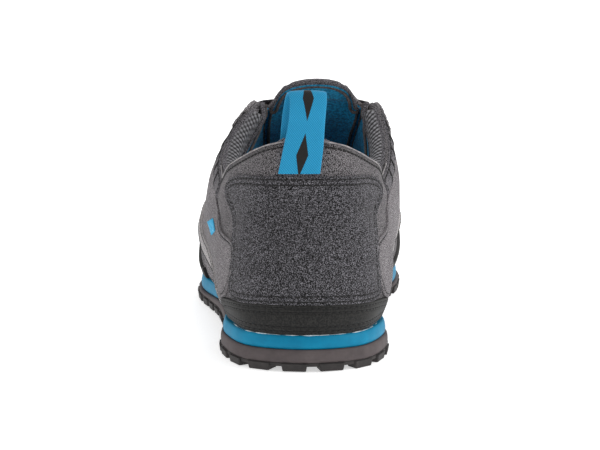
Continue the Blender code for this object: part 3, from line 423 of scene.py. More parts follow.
def startMaterial(name, settings, coordinates="Object"):
    # A material, its tree and shader, and the place that its patterns are laid by
    material = bpy.data.materials.new(name)
    material.use_nodes = True
    tree = material.node_tree
    shader = tree.nodes["Principled BSDF"]
    for socket, value in settings.items():
        shader.inputs[socket].default_value = value
    return material, tree, shader, addNode(tree, "ShaderNodeTexCoord", {}).outputs[coordinates]


def mottled(tree, place, size, stops, **cloudSettings):
    # Colours spread by a cloud of the given grain size; gives the colour and the cloud itself
    settings = {"Scale": 1 / size, **cloudSettings}
    cloud = addNode(tree, "ShaderNodeTexNoise", settings, [("Vector", place)]).outputs["Fac"]
    ramp = {"stops": [(position, linear(colour)) for position, colour in stops]}
    return addNode(tree, "ShaderNodeValToRGB", ramp, [("Fac", cloud)]).outputs["Color"], cloud


def layFloor():
    # An opal light table, softly mottled: it glows a little from below, so that the shoe stands on
    # white with hardly a shadow
    half = 6.0
    mesh = bpy.data.meshes.new("lightTable")
    corners = [(-half, -half, 0), (half, -half, 0), (half, half, 0), (-half, half, 0)]
    mesh.from_pydata(corners, [], [(0, 1, 2, 3)])
    board = bpy.data.objects.new("lightTable", mesh)
    bpy.context.scene.collection.objects.link(board)
    material, tree, shader, place = startMaterial(
        "opalAcrylic",
        {"Roughness": 0.85, "Emission Color": linear("#ffffff"), "Emission Strength": 0.55},
    )
    tone, _ = mottled(tree, place, 250 * mm, [(0.0, "#f4f4f4"), (1.0, "#fbfbfb")], Detail=2.0)
    tree.links.new(tone, shader.inputs["Base Color"])
    mesh.materials.append(material)


lamps = {
    # name: place, aim, width, power
    "leftSoftbox": ((-1.7, -0.35, 0.7), (0, -0.05, 0.05), 1.0, 5),
    "rightSoftbox": ((1.7, -0.45, 0.9), (0, -0.05, 0.05), 1.0, 13),
    "topSoftbox": ((0.4, 0.2, 1.9), (0, 0.0, 0.0), 1.6, 9),
    "frontSoftbox": ((0.2, 1.8, 1.2), (0, 0.0, 0.05), 1.2, 8),
}


def hangLamps():
    for name, (place, aim, width, power) in lamps.items():
        light = bpy.data.lights.new(name, "AREA")
        light.shape = "DISK"
        light.size = width
        light.energy = power
        lamp = bpy.data.objects.new(name, light)
        lamp.location = place
        lamp.rotation_euler = (Vector(aim) - Vector(place)).to_track_quat("-Z", "Y").to_euler()
        bpy.context.scene.collection.objects.link(lamp)
    world = bpy.data.worlds.new("whiteStudio")
    world.use_nodes = True
    world.node_tree.nodes["Background"].inputs["Color"].default_value = linear("#ffffff")
    world.node_tree.nodes["Background"].inputs["Strength"].default_value = 0.5
    bpy.context.scene.world = world
    bpy.context.scene.view_settings.view_transform = "Standard"
    bpy.context.scene.view_settings.look = "None"


placeCamera()
layFloor()
hangLamps()

print("stage: materials")


def toned(tree, colour, cloud, low, high):
    # The colour made darker and lighter along a cloud
    settings = {"From Min": 0.3, "From Max": 0.7, "To Min": low, "To Max": high}
    share = addNode(tree, "ShaderNodeMapRange", settings, [("Value", cloud)])
    links = [("Vector", colour), ("Scale", share.outputs["Result"])]
    return addNode(tree, "ShaderNodeVectorMath", {"operation": "SCALE"}, links).outputs["Vector"]


def finishMaterial(tree, shader, colour, *bumps):
    # The colour, and bumps laid one over the other. Each has a height, a strength and a depth,
    # and a depth below nought turns it inward.
    tree.links.new(colour, shader.inputs["Base Color"])
    below = []
    for height, strength, depth in bumps:
        settings = {"Strength": strength, "Distance": abs(depth), "invert": depth < 0}
        bump = addNode(tree, "ShaderNodeBump", settings, [("Height", height)] + below)
        below = [("Normal", bump.outputs["Normal"])]
    for socket, normal in below:
        tree.links.new(normal, shader.inputs[socket])


def brushedSuede(name, dark, mid, light, nap=0.3 * mm, spread=0.04):
    # Split cowhide buffed to a nap: no gloss, a salt and pepper of light fibre tips over dark roots,
    # and soft cloudy patches where the nap lies another way. The real nap is about 0.15 mm and is
    # drawn twice as coarse, so that it shows. The smaller the spread, the harder the salt and pepper.
    material, tree, shader, place = startMaterial(
        name,
        {
            "Roughness": 0.95,
            "Specular IOR Level": 0.25,
            "Sheen Weight": 0.12,
            "Sheen Roughness": 0.45,
            "Sheen Tint": linear("#d8d4d6"),
        },
    )
    stops = [(0.5 - spread, dark), (0.5, mid), (0.5 + spread, light)]
    tips, fibres = mottled(tree, place, nap, stops, Detail=1.0, Roughness=0.6)
    clouds = addNode(
        tree,
        "ShaderNodeTexNoise",
        {"Scale": 1 / (26 * mm), "Detail": 3.0, "Roughness": 0.55, "Distortion": 0.6},
        [("Vector", place)],
    )
    brushed = toned(tree, tips, clouds.outputs["Fac"], 0.86, 1.12)
    grain = addNode(
        tree,
        "ShaderNodeTexNoise",
        {"Scale": 1 / (3.2 * mm), "Detail": 4.0, "Roughness": 0.7},
        [("Vector", place)],
    )
    broad = (grain.outputs["Fac"], 0.35, 0.5 * mm)
    finishMaterial(tree, shader, brushed, broad, (fibres, 0.55, 0.35 * mm))
    return material


def fineGrainLeather(name, dark, light):
    # Pigmented split leather pressed smooth: a low even shine broken by a fine pebble and pores
    material, tree, shader, place = startMaterial(
        name,
        {"Roughness": 0.66, "Specular IOR Level": 0.28, "Sheen Weight": 0.04, "Sheen Roughness": 0.5},
    )
    pebble = addNode(
        tree,
        "ShaderNodeTexVoronoi",
        {"feature": "DISTANCE_TO_EDGE", "Scale": 1 / (1.3 * mm)},
        [("Vector", place)],
    )
    colour, haze = mottled(tree, place, 0.7 * mm, [(0.42, dark), (0.6, light)], Detail=3.0)
    creased = (pebble.outputs["Distance"], 0.30, 0.15 * mm)
    finishMaterial(tree, shader, colour, creased, (haze, 0.30, 0.2 * mm))
    return material


def mouldedFoam(name, dark, light, roughness):
    # EVA foam out of a closed mould: an even skin, faintly mottled, with fine pitting
    material, tree, shader, place = startMaterial(
        name, {"Roughness": roughness, "IOR": 1.48, "Specular IOR Level": 0.2}
    )
    stops = [(0.3, dark), (0.7, light)]
    colour, _ = mottled(tree, place, 9 * mm, stops, Detail=4.0, Roughness=0.6)
    pits = addNode(
        tree, "ShaderNodeTexNoise", {"Scale": 1 / (0.8 * mm), "Detail": 2.0}, [("Vector", place)]
    )
    finishMaterial(tree, shader, colour, (pits.outputs["Fac"], 0.25, 0.12 * mm))
    return material


def carbonRubber(name, dark, light):
    # Carbon-filled outsole rubber, vulcanised in a blasted mould: near black, dull, faintly dusty
    material, tree, shader, place = startMaterial(
        name, {"Roughness": 0.7, "IOR": 1.52, "Specular IOR Level": 0.45}
    )
    stops = [(0.35, dark), (0.75, light)]
    colour, _ = mottled(tree, place, 6 * mm, stops, Detail=6.0, Roughness=0.7)
    blast = addNode(
        tree, "ShaderNodeTexNoise", {"Scale": 1 / (0.7 * mm), "Detail": 3.0}, [("Vector", place)]
    )
    finishMaterial(tree, shader, colour, (blast.outputs["Fac"], 0.35, 0.15 * mm))
    return material


def knitCloth(name, shadedGround, yarn, attribute=None, loopSize=1.1 * mm):
    # Polyester knit: matt yarn, with painted shade where the knit lies deep. Where the mesh carries its
    # own knit relief, its depth picks the colour; elsewhere small loops are drawn twice as coarse as
    # they are, darker towards their edges.
    material, tree, shader, place = startMaterial(
        name,
        {"Roughness": 0.9, "Specular IOR Level": 0.2, "Sheen Weight": 0.15, "Sheen Roughness": 0.5},
    )
    loops = addNode(tree, "ShaderNodeTexVoronoi", {"Scale": 1 / loopSize}, [("Vector", place)])
    fuzz = addNode(
        tree, "ShaderNodeTexNoise", {"Scale": 1 / (0.8 * mm), "Detail": 2.0}, [("Vector", place)]
    ).outputs["Fac"]
    depth = loops.outputs["Distance"]
    stops = [(0.25, linear(yarn)), (0.75, linear(shadedGround))]
    bump = (depth, 0.4, -0.25 * mm)
    if attribute:
        depth = addNode(tree, "ShaderNodeAttribute", {"attribute_name": attribute}).outputs["Fac"]
        stops = [(0.12, linear(shadedGround)), (0.72, linear(yarn))]
        bump = (fuzz, 0.4, 0.25 * mm)
    colour = addNode(tree, "ShaderNodeValToRGB", {"stops": stops}, [("Fac", depth)])
    finishMaterial(tree, shader, toned(tree, colour.outputs["Color"], fuzz, 0.82, 1.16), bump)
    return material


def wovenBand(name, dark, light, motif=None):
    # Flat polyester webbing in a plain weave: rows of small floats across, ribs along, with painted
    # highlight on the raised floats and painted shade in the dips.
    # The map's U runs across in millimetres and V along. The weave is drawn at 1.1 mm.
    material, tree, shader, place = startMaterial(
        name,
        {"Roughness": 0.75, "Specular IOR Level": 0.3, "Sheen Weight": 0.12, "Sheen Roughness": 0.4},
        "UV",
    )
    parts = addNode(tree, "ShaderNodeSeparateXYZ", {}, [("Vector", place)])
    across, along = parts.outputs["X"], parts.outputs["Y"]
    pitch = 1.1
    waves = []
    for run in (across, along):
        turn = {"operation": "MULTIPLY", 1: 2 * math.pi / pitch}
        turned = addNode(tree, "ShaderNodeMath", turn, [(0, run)])
        wave = addNode(tree, "ShaderNodeMath", {"operation": "SINE"}, [(0, turned.outputs[0])])
        waves.append(wave.outputs[0])
    weave = addNode(tree, "ShaderNodeMath", {"operation": "MULTIPLY"}, enumerate(waves))
    level = addNode(
        tree, "ShaderNodeMapRange", {"From Min": -1.0, "From Max": 1.0}, [("Value", weave.outputs[0])]
    ).outputs["Result"]
    # The weave's height picks the colour: painted shade in its dips, painted highlight on its floats
    ramp = {"stops": [(0.15, linear(dark)), (0.85, linear(light))]}
    colour = addNode(tree, "ShaderNodeValToRGB", ramp, [("Fac", level)]).outputs["Color"]
    if motif:
        # A plain row of long lozenges woven in black down the middle of the band
        steps = (
            (across, (("ABSOLUTE", None), ("DIVIDE", motif["halfWidth"]))),
            (
                along,
                (
                    ("ADD", motif["shift"]),
                    ("PINGPONG", motif["pitch"] / 2),
                    ("DIVIDE", motif["halfLength"]),
                ),
            ),
        )
        shares = []
        for share, sums in steps:
            for operation, number in sums:
                settings = {"operation": operation}
                if number is not None:
                    settings[1] = number
                share = addNode(tree, "ShaderNodeMath", settings, [(0, share)]).outputs[0]
            shares.append(share)
        both = addNode(tree, "ShaderNodeMath", {"operation": "ADD"}, enumerate(shares))
        within = {"operation": "LESS_THAN", 1: 1.0}
        inside = addNode(tree, "ShaderNodeMath", within, [(0, both.outputs[0])])
        mixed = {"data_type": "RGBA", 7: linear(motif["colour"])}
        colour = addNode(
            tree, "ShaderNodeMix", mixed, [(0, inside.outputs[0]), (6, colour)]
        ).outputs[2]
    finishMaterial(tree, shader, colour, (level, 0.6, 0.25 * mm))
    return material


def bondedThread(name, dark, light):
    # Bonded polyester thread: smooth and a little waxy, its ply just showing as lighter flecks
    material, tree, shader, place = startMaterial(
        name, {"Roughness": 0.55, "Specular IOR Level": 0.4}
    )
    colour, _ = mottled(tree, place, 0.9 * mm, [(0.35, dark), (0.7, light)], Detail=1.0)
    finishMaterial(tree, shader, colour)
    return material


def paintedBrass(name, colour, worn):
    # Stamped brass eyelets in baked black enamel, rubbed a little bare in small patches
    material, tree, shader, place = startMaterial(
        name, {"Roughness": 0.38, "Metallic": 0.0, "IOR": 1.5, "Coat Weight": 0.2}
    )
    tone, _ = mottled(tree, place, 1.6 * mm, [(0.58, colour), (0.75, worn)], Detail=5.0)
    finishMaterial(tree, shader, tone)
    return material


sideSuede = brushedSuede("sideSuede", "#232122", "#524f51", "#9d989b")
# The same brushed suede as the sides, made much darker: its colours paint the shade on the back of the
# heel
shadedHeelSuede = brushedSuede("shadedHeelSuede", "#010101", "#070707", "#88868c", nap=0.36 * mm, spread=0.13)
trimSuede = brushedSuede("trimSuede", "#3b3839", "#6f6b6d", "#aca7a9")
bandSuede = brushedSuede("bandSuede", "#201f20", "#4a484a", "#848186")
strapSuede = brushedSuede("strapSuede", "#565252", "#989393", "#c6c2c2")
quarterSuede = brushedSuede("quarterSuede", "#121111", "#363435", "#8b878a", nap=0.34 * mm)
heelLeather = fineGrainLeather("heelLeather", "#0a0a0a", "#272624")
bindingLeather = fineGrainLeather("bindingLeather", "#443f3e", "#67605e")
blueFoam = mouldedFoam("blueFoam", "#00749a", "#0087ad", 0.55)
greyFoam = mouldedFoam("greyFoam", "#4d4647", "#5f5757", 0.65)
soleRubber = carbonRubber("soleRubber", "#221f1f", "#383332")
randRubber = carbonRubber("randRubber", "#1f1e1e", "#2f2d2d")
# The darker first colour of each knit is painted shade for its holes
airMesh = knitCloth("airMesh", "#262526", "#8c8b8f", attribute="knit")
tealLining = knitCloth("tealLining", "#1475a0", "#2ea9d8")
footbedCloth = knitCloth("footbedCloth", "#101214", "#24272a", loopSize=1.4 * mm)
# The darker colour of each band is painted shade in the weave's dips, the lighter one painted highlight
# on its floats
heelWebbing = wovenBand(
    "heelWebbing",
    "#0a78a6",
    "#2ca3d1",
    # lozenges, in millimetres
    motif={"halfWidth": 2.7, "halfLength": 9.5, "pitch": 24.0, "shift": 16.0, "colour": "#1a1918"},
)
laceWeave = wovenBand("laceWeave", "#1f1e20", "#4a484c")
# Near-black thread: besides the thread's own dark colour, it paints the shade in the seam grooves
darkThreadAndSeamShade = bondedThread("darkThreadAndSeamShade", "#030303", "#0e0d0d")
blueThread = bondedThread("blueThread", "#1d94c4", "#55c3ea")
blackEnamel = paintedBrass("blackEnamel", "#17171a", "#3d3c3c")
paleGlue = bondedThread("paleGlue", "#9fb4bc", "#d8e0e2")
rawEdge = bondedThread("rawEdge", "#777374", "#a8a4a4")

print("stage: upper")


def makePiece(name, points, faces, materials, replacing=(), faceMaterials=None, sharp=None):
    # One object of the shoe, from points in the last's own frame, riding on the root body
    mesh = bpy.data.meshes.new(name)
    placed = np.asarray(points, float) + np.array(last["heelPlace"])
    mesh.from_pydata(placed.tolist(), [], [tuple(int(i) for i in face) for face in faces])
    for material in materials:
        mesh.materials.append(material)
    if faceMaterials is not None:
        mesh.polygons.foreach_set("material_index", np.asarray(faceMaterials, np.int32))
    mesh.shade_smooth()
    if sharp:
        mesh.set_sharp_from_angle(angle=math.radians(sharp))
    piece = bpy.data.objects.new(name, mesh)
    bpy.context.scene.collection.objects.link(piece)
    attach(piece, "root")
    if replacing:
        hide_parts(*replacing)
    return piece


def layMap(piece, spots):
    # A UV map from one (across, along) pair in millimetres for each point
    mesh = piece.data
    corners = np.zeros(len(mesh.loops), np.int32)
    mesh.loops.foreach_get("vertex_index", corners)
    layer = mesh.uv_layers.new(name="clothMap")
    layer.data.foreach_set("uv", np.asarray(spots, np.float32)[corners].ravel())


def layDepth(piece, name, values):
    layer = piece.data.attributes.new(name, "FLOAT", "POINT")
    layer.data.foreach_set("value", np.asarray(values, np.float32))


def gridFaces(rows, cols, start=0, flip=False, closed=False):
    # Quads over a grid of points kept row by row; closed joins the last column to the first
    i, j = np.meshgrid(np.arange(rows - 1), np.arange(cols if closed else cols - 1), indexing="ij")
    a, b = start + i * cols + j, start + i * cols + (j + 1) % cols
    quads = np.stack([a, b, b + cols, a + cols], axis=-1).reshape(-1, 4)
    return quads[:, ::-1] if flip else quads


def rollFaces(rows, cols, flip=False):
    # Quads over a grid whose last row joins its first, with both ends closed
    faces = [tuple(f) for f in gridFaces(rows, cols)]
    end = (rows - 1) * cols
    faces += [(end + j, end + j + 1, j + 1, j) for j in range(cols - 1)]
    if flip:
        faces = [face[::-1] for face in faces]
    faces.append(tuple(i * cols for i in range(rows)))
    faces.append(tuple(i * cols + cols - 1 for i in range(rows))[::-1])
    return faces


eyelets = {"pairs": 5, "inset": 8 * mm, "hole": 2.4 * mm, "height": 1.1 * mm}


def eyeletRounds(side):
    index = side * np.linspace(collarFront + 0.55, throatFront - 1.0, eyelets["pairs"])
    return roundOf(index)


def eyeletPlaces():
    # Every eyelet's distance round, v, centre on the bare form and outward axis
    found = []
    for side in (-1, 1):
        s = eyeletRounds(side)
        v = upWall(s, wallLength(s) - eyelets["inset"])
        found += list(zip([side] * len(s), s, v, form(s, v), formNormal(s, v)))
    return found


def withoutHoles(points, faces):
    # Drops the faces that lie over an eyelet's hole, so that the lace passes through
    middle = points[faces].mean(axis=1)
    keep = np.ones(len(faces), bool)
    for _, _, _, centre, axis in eyeletPlaces():
        away = middle - centre
        height = away @ axis
        radius = np.linalg.norm(away - height[:, None] * axis, axis=1)
        keep &= ~((radius < eyelets["hole"] * 1.12) & (np.abs(height) < 6 * mm))
    return faces[keep]


shell = {"columns": 560, "rows": 84, "liningRows": 30, "lip": 0.7 * mm}


def sewShell():
    # The suede outside and the lining inside, one closed wall
    count = shell["columns"]
    s = roundAt[0] + perimeter * np.arange(count) / count
    v = np.linspace(0, 1, shell["rows"] + 1)[:, None]
    ridge = np.abs(indexOf(s)) >= throatFront
    height = relief(s[None, :], v) - shell["lip"] * smoothStep(0.975, 1.0, v) * ~ridge
    outer = form(s[None, :], v) + formNormal(s[None, :], v) * height[..., None]
    vIn = np.linspace(1, 0, shell["liningRows"] + 1)[:, None]
    normal = formNormal(s[None, :], vIn)
    mirror = (count - np.arange(count)) % count  # ahead of the throat both sides share the ridge
    shared = unit(normal[0] + normal[0][mirror])
    normal[0][ridge] = shared[ridge]
    hollow = np.minimum(relief(s[None, :], vIn), 0)
    inner = form(s[None, :], vIn) + normal * (hollow - last["wall"])[..., None]
    inner[-1, :, 2] = outer[0, :, 2]
    points = np.concatenate([outer.reshape(-1, 3), inner.reshape(-1, 3)])
    rows = len(outer) + len(inner)
    faces = gridFaces(rows, count, closed=True)
    here = np.arange(count)
    ahead, end = (here + 1) % count, (rows - 1) * count
    faces = np.concatenate([faces, np.stack([end + here, end + ahead, ahead, here], axis=1)])
    crossing = faces[:, 0] // count == len(outer) - 1
    overRidge = ridge[faces[:, 0] % count] & ridge[faces[:, 1] % count]
    faces = faces[~(crossing & overRidge)]
    faces = withoutHoles(points, faces)
    inside = (faces[:, 0] // count >= len(outer) + 3).astype(int)
    return makePiece(
        "upperShell",
        points,
        faces,
        [quarterSuede, tealLining],
        replacing=["upper"],
        faceMaterials=inside,
    )


def evened(points):
    return 0.25 * np.roll(points, 1, axis=0) + 0.5 * points + 0.25 * np.roll(points, -1, axis=0)


def softOutline(corners, spacing=1.1 * mm, rounding=3.0 * mm):
    # A closed outline resampled evenly, with its corners rounded by averaging along it
    corners = np.asarray(corners, float)
    closed = np.vstack([corners, corners[:1]])
    lengths = runLengths(closed)
    count = int(lengths[-1] / spacing)
    points = readAlong(closed, lengths, np.linspace(0, lengths[-1], count, endpoint=False))
    for _ in range(int(2 * (rounding / spacing) ** 2)):
        points = evened(points)
    return points


def drawnIn(outline, distance):
    # The outline moved inward, for an outline that runs anticlockwise
    along = unit(np.roll(outline, -1, axis=0) - np.roll(outline, 1, axis=0))
    moved = outline + np.stack([-along[:, 1], along[:, 0]], axis=1) * distance
    for _ in range(int(distance / mm)):
        moved = evened(moved)
    return moved


def insideOutline(points, outline):
    x, y = points[:, :1], points[:, 1:]
    ax, ay = outline[:, 0], outline[:, 1]
    bx, by = np.roll(ax, -1), np.roll(ay, -1)
    crosses = (ay > y) != (by > y)
    at = ax + (y - ay) * (bx - ax) / np.where(by == ay, 1e-12, by - ay)
    return (crosses & (x < at)).sum(axis=1) % 2 == 1


def filled(ring, cell):
    # Points inside a ring and the triangles over both, the ring's own points first
    low, high = ring.min(axis=0), ring.max(axis=0)
    axes = [np.arange(low[k], high[k], cell) for k in (0, 1)]
    grid = np.stack(np.meshgrid(*axes, indexing="ij"), axis=-1).reshape(-1, 2)
    grid = grid[insideOutline(grid, ring)]
    near = np.array([np.linalg.norm(ring - point, axis=1).min() for point in grid]).reshape(-1)
    grid, near = grid[near > 0.6 * cell], near[near > 0.6 * cell]
    spots = [Vector(point) for point in np.vstack([ring, grid]).tolist()]
    edges = [(i, (i + 1) % len(ring)) for i in range(len(ring))]
    verts, _, faces = delaunay_2d_cdt(spots, edges, [], 1, 1e-7)[:3]
    depth = np.concatenate([np.zeros(len(ring)), near, np.zeros(max(0, len(verts) - len(spots)))])
    return np.array([tuple(v) for v in verts]), [tuple(f) for f in faces], depth


# The stitches are longer and thicker than the real thread, so that each near-black row reads as one
# dark line and also paints the shade in its seam groove
stitch = {"pitch": 2.9 * mm, "length": 2.5 * mm, "thickness": 0.84 * mm, "sink": 0.1 * mm}
seams = []  # every row of stitches: points along it and the outward direction there


def addSeam(points, normals, closed=True):
    seams.append((np.asarray(points), np.asarray(normals), closed))


edgeProfile = [  # distance in from the cut edge, share of the thickness
    (0.0, -0.30), (0.02, 0.45), (0.10, 0.78), (0.30, 0.95), (0.65, 1.0),
]


def sewnPanel(name, outline, material, thickness, base=0.0, rows=(1.7, 3.9), groove=0.28, puff=0.35,
              cell=2.4, replacing=(), holes=False):
    # A cut panel that follows the upper: rounded cut edge, sewn rows pulled in, soft middle.
    # outline holds (distance round, distance up the wall) pairs, anticlockwise; rows and groove
    # are in millimetres.
    insets = [(d * mm, thickness * share) for d, share in edgeProfile]
    for row in rows:
        insets += [
            ((row - 0.7) * mm, thickness),
            (row * mm, thickness - groove * mm),
            ((row + 0.7) * mm, thickness),
        ]
    insets.append(((rows[-1] if rows else 0.6) * mm + 1.1 * mm, thickness + 0.04 * mm))
    rings = [drawnIn(outline, distance) for distance, _ in insets]
    heights = [np.full(len(outline), base + height) for _, height in insets]
    inner, triangles, depth = filled(rings[-1], cell * mm)
    count = len(outline)
    crown = base + thickness + puff * mm * (1 - np.exp(-depth / (5 * mm))) + 0.04 * mm
    flat = np.vstack(rings[:-1] + [inner])
    height = np.concatenate(heights[:-1] + [crown])
    s, b = flat[:, 0], flat[:, 1]
    v = np.clip(upWall(s, b), 0, 1)
    top = skin(s, v, height)
    top[:, 2] = np.maximum(top[:, 2], soleTop(top[:, 1]) + 0.1 * mm)
    under = skin(s, v, np.full(len(s), base - 0.3 * thickness))
    start = (len(rings) - 1) * count
    strips = gridFaces(len(rings), count, closed=True)
    faces = [tuple(face) for face in strips]
    faces += [tuple(start + i for i in face) for face in triangles]
    total = len(flat)
    bottom = [tuple(total + i for i in face[::-1]) for face in faces]
    points = np.vstack([top, under])
    faces = faces + bottom
    faces += [(i + total, (i + 1) % count + total, (i + 1) % count, i) for i in range(count)]
    if holes:
        quads = [face for face in faces if len(face) == 4]
        threes = [face for face in faces if len(face) == 3]
        faces = [tuple(f) for f in withoutHoles(points, np.array(quads))]
        faces += [tuple(f) for f in withoutHoles(points, np.array(threes))]
    piece = makePiece(name, points, faces, [material], replacing=replacing)
    for row in rows:
        path = drawnIn(outline, row * mm)
        vPath = np.clip(upWall(path[:, 0], path[:, 1]), 0, 1)
        lift = base + thickness - groove * mm + stitch["sink"]
        addSeam(skin(path[:, 0], vPath, np.full(len(path), lift)), formNormal(path[:, 0], vPath))
    return piece


heelBand = {"height": 14 * mm, "reach": 58 * mm, "fall": 0.30, "thickness": 1.2 * mm}
heelPanel = {
    "top": 69 * mm,
    "reach": 74 * mm,
    "thickness": 1.25 * mm,
    "fall": 0.45,
    "square": 5,  # the higher, the squarer the shoulders
    # share of the height and share of the reach: a waisted shield
    "waist": np.array(
        [(0.0, 0.58), (0.15, 0.51), (0.36, 0.49), (0.6, 0.55), (0.8, 0.67), (1.0, 0.79)]
    ),
}


def bandTop(s):
    return heelBand["height"] * (1 - heelBand["fall"] * (s / heelBand["reach"]) ** 2)


def shieldTop(s):
    away = np.abs(s / heelPanel["reach"])
    return heelPanel["top"] * (1 - heelPanel["fall"] * away ** heelPanel["square"])


def sewHeelPanel():
    up = np.linspace(0, 1, 40)
    half = through(*heelPanel["waist"].T, up)[..., 0] * heelPanel["reach"]
    gap = 0.8 * mm
    rise = shieldTop(half) - bandTop(half) - gap
    right = np.stack([half, bandTop(half) + gap + rise * up], axis=1)
    low = np.linspace(-half[0], half[0], 60)
    high = np.linspace(half[-1], -half[-1], 80)
    outline = np.vstack([
        np.stack([low, bandTop(low) + gap - 1.2 * mm], axis=1),
        right,
        np.stack([high, shieldTop(high)], axis=1),
        right[::-1] * np.array([-1, 1]),
    ])
    sewnPanel(
        "heelShield",
        softOutline(outline, rounding=8.0 * mm),
        shadedHeelSuede,
        heelPanel["thickness"],
        rows=(1.5, 3.9),
        groove=0.55,
        puff=0.5,
        replacing=["counter"],
    )


def sewHeelBand():
    reach = heelBand["reach"]
    low = np.linspace(-reach, reach, 100)
    outline = np.vstack([
        np.stack([low, np.full_like(low, 0.2 * mm)], axis=1),
        np.stack([low[::-1], bandTop(low[::-1])], axis=1),
    ])
    sewnPanel(
        "heelBand",
        softOutline(outline, rounding=3.4 * mm),
        heelLeather,
        heelBand["thickness"],
        base=0.2 * mm,
        rows=(1.5, 3.6),
        groove=0.5,
        puff=0.15,
        cell=1.8,
        replacing=["heel_cap"],
    )


sidePanels = {
    "rear": 34 * mm,
    "thickness": 1.2 * mm,
    # share of the height and of the rear distance: the rear edge curves round behind the ankle
    "rearCurve": np.array(
        [(0.0, 1.4), (0.2, 1.16), (0.42, 1.0), (0.62, 1.02), (0.8, 1.25), (0.92, 1.7), (1.0, 2.35)]
    ),
    "frontStation": 6.2,
    "topShares": ((2, 3, 5, 7), (5.8 / 9, 7.1 / 9, 5.5 / 9, 4.5 / 9)),
}


def sewSidePanel(side, word):
    front = abs(float(roundOf(side * sidePanels["frontStation"])))
    up = np.linspace(0, 1, 30)
    rear = through(*sidePanels["rearCurve"].T, up)[..., 0] * sidePanels["rear"]

    def topAt(away):
        s = side * away
        share = np.interp(np.abs(indexOf(s)), *sidePanels["topShares"])
        v = np.linspace(0, 1, 60)
        points = form(s[:, None], v[None, :])
        lengths = np.cumsum(np.linalg.norm(np.diff(points, axis=1), axis=2), axis=1)
        return np.array([np.interp(x, v[1:], row) for x, row in zip(share, lengths)])

    def lowAt(away):
        clear = np.clip((heelBand["reach"] + 4 * mm - away) / (4 * mm), 0, 1)
        return 0.2 * mm + clear * bandTop(away)

    rearTop = topAt(rear)
    rearLine = np.stack([rear, lowAt(rear) + (rearTop - lowAt(rear)) * up], axis=1)
    low = np.linspace(rear[0], front, 120)
    high = np.linspace(front, rear[-1], 120)
    outline = np.vstack([
        np.stack([low, lowAt(low)], axis=1),
        np.stack([high, topAt(high)], axis=1),
        rearLine[::-1],
    ])
    outline[:, 0] *= side
    sewnPanel(
        "sidePanel" + word.capitalize(),
        softOutline(outline[::side], rounding=3.0 * mm),
        sideSuede,
        sidePanels["thickness"],
        rows=(1.6,),
        groove=0.5,
        puff=0.3,
        replacing=["side_panel_" + word],
    )


eyestays = {"depth": 14 * mm, "finger": 7 * mm, "thickness": 1.2 * mm, "taper": 0.3}


def sewEyestay(side, word):
    first = float(roundOf(side * (collarFront - 0.1)))
    final = float(roundOf(side * (throatFront - 0.3)))
    s = np.linspace(first, final, 160)
    places = eyeletRounds(side)
    pitch = abs(places[-1] - places[0]) / (eyelets["pairs"] - 1)
    nearest = np.abs(s[:, None] - places).min(axis=1) / pitch
    finger = 0.5 + 0.5 * np.cos(np.clip(nearest, 0, 0.5) * 2 * np.pi)
    share = np.abs((s - first) / (final - first))
    reach = (eyestays["depth"] + eyestays["finger"] * finger) * (1 - eyestays["taper"] * share)
    total = wallLength(s)
    outline = np.vstack([
        np.stack([s, total - 0.5 * mm - reach], axis=1),
        np.stack([s, total - 0.6 * mm], axis=1)[::-1],
    ])
    sewnPanel(
        "eyestay" + word.capitalize(),
        softOutline(outline[::side], rounding=1.8 * mm),
        trimSuede,
        eyestays["thickness"],
        base=0.3 * mm,
        rows=(1.4,),
        groove=0.25,
        puff=0.1,
        cell=1.7,
        replacing=["eyestay_" + word],
        holes=True,
    )


toeGuard = {
    "medialEnd": 6.6,
    "lateralEnd": 6.55,
    "thickness": 1.6 * mm,
    "height": 4 / 9,
}


def mouldToeGuard():
    # Rubber rand round the forefoot, tapering to its ends
    start = float(roundOf(toeGuard["medialEnd"]))
    end = float(roundOf(-toeGuard["lateralEnd"])) + perimeter
    s = np.linspace(start, end, 420)
    along = (s - s[0]) / (s[-1] - s[0])
    ends = np.clip(np.sin(np.pi * along) * 2.2, 0.22, 1)
    share = np.array([0, 0.04, 0.2, 0.4, 0.6, 0.8, 0.92, 0.965, 0.99, 1.0, 1.0])
    stand = np.array([1, 1, 1, 1, 1, 1, 1, 0.93, 0.72, 0.35, -0.2]) * toeGuard["thickness"]
    lip = 0.35 * mm * np.exp(-(((share - 0.86) / 0.05) ** 2))  # a moulded bead under the edge
    v = ends * toeGuard["height"] * share[:, None]
    outer = skin(s[None, :], v, (stand + lip)[:, None] + np.zeros(v.shape))
    outer[..., 2] = np.maximum(outer[..., 2], soleTop(outer[..., 1]) + 0.15 * mm)
    inner = skin(s[None, :], v[::-1], -0.3 * mm)
    grid = np.concatenate([outer, inner])
    makePiece(
        "toeRand",
        grid.reshape(-1, 3),
        rollFaces(*grid.shape[:2]),
        [randRubber],
        replacing=["toe_rand"],
        sharp=40,
    )


strap = {
    # station and height up the wall of the middle line, from the sole forward and up
    "line": (
        (2.55, 9), (3.0, 12), (3.6, 14.5), (4.3, 16.5), (5.1, 18), (5.8, 22), (6.5, 29), (7.1, 37),
    ),
    "width": 12 * mm,
    "thickness": 1.3 * mm,
}


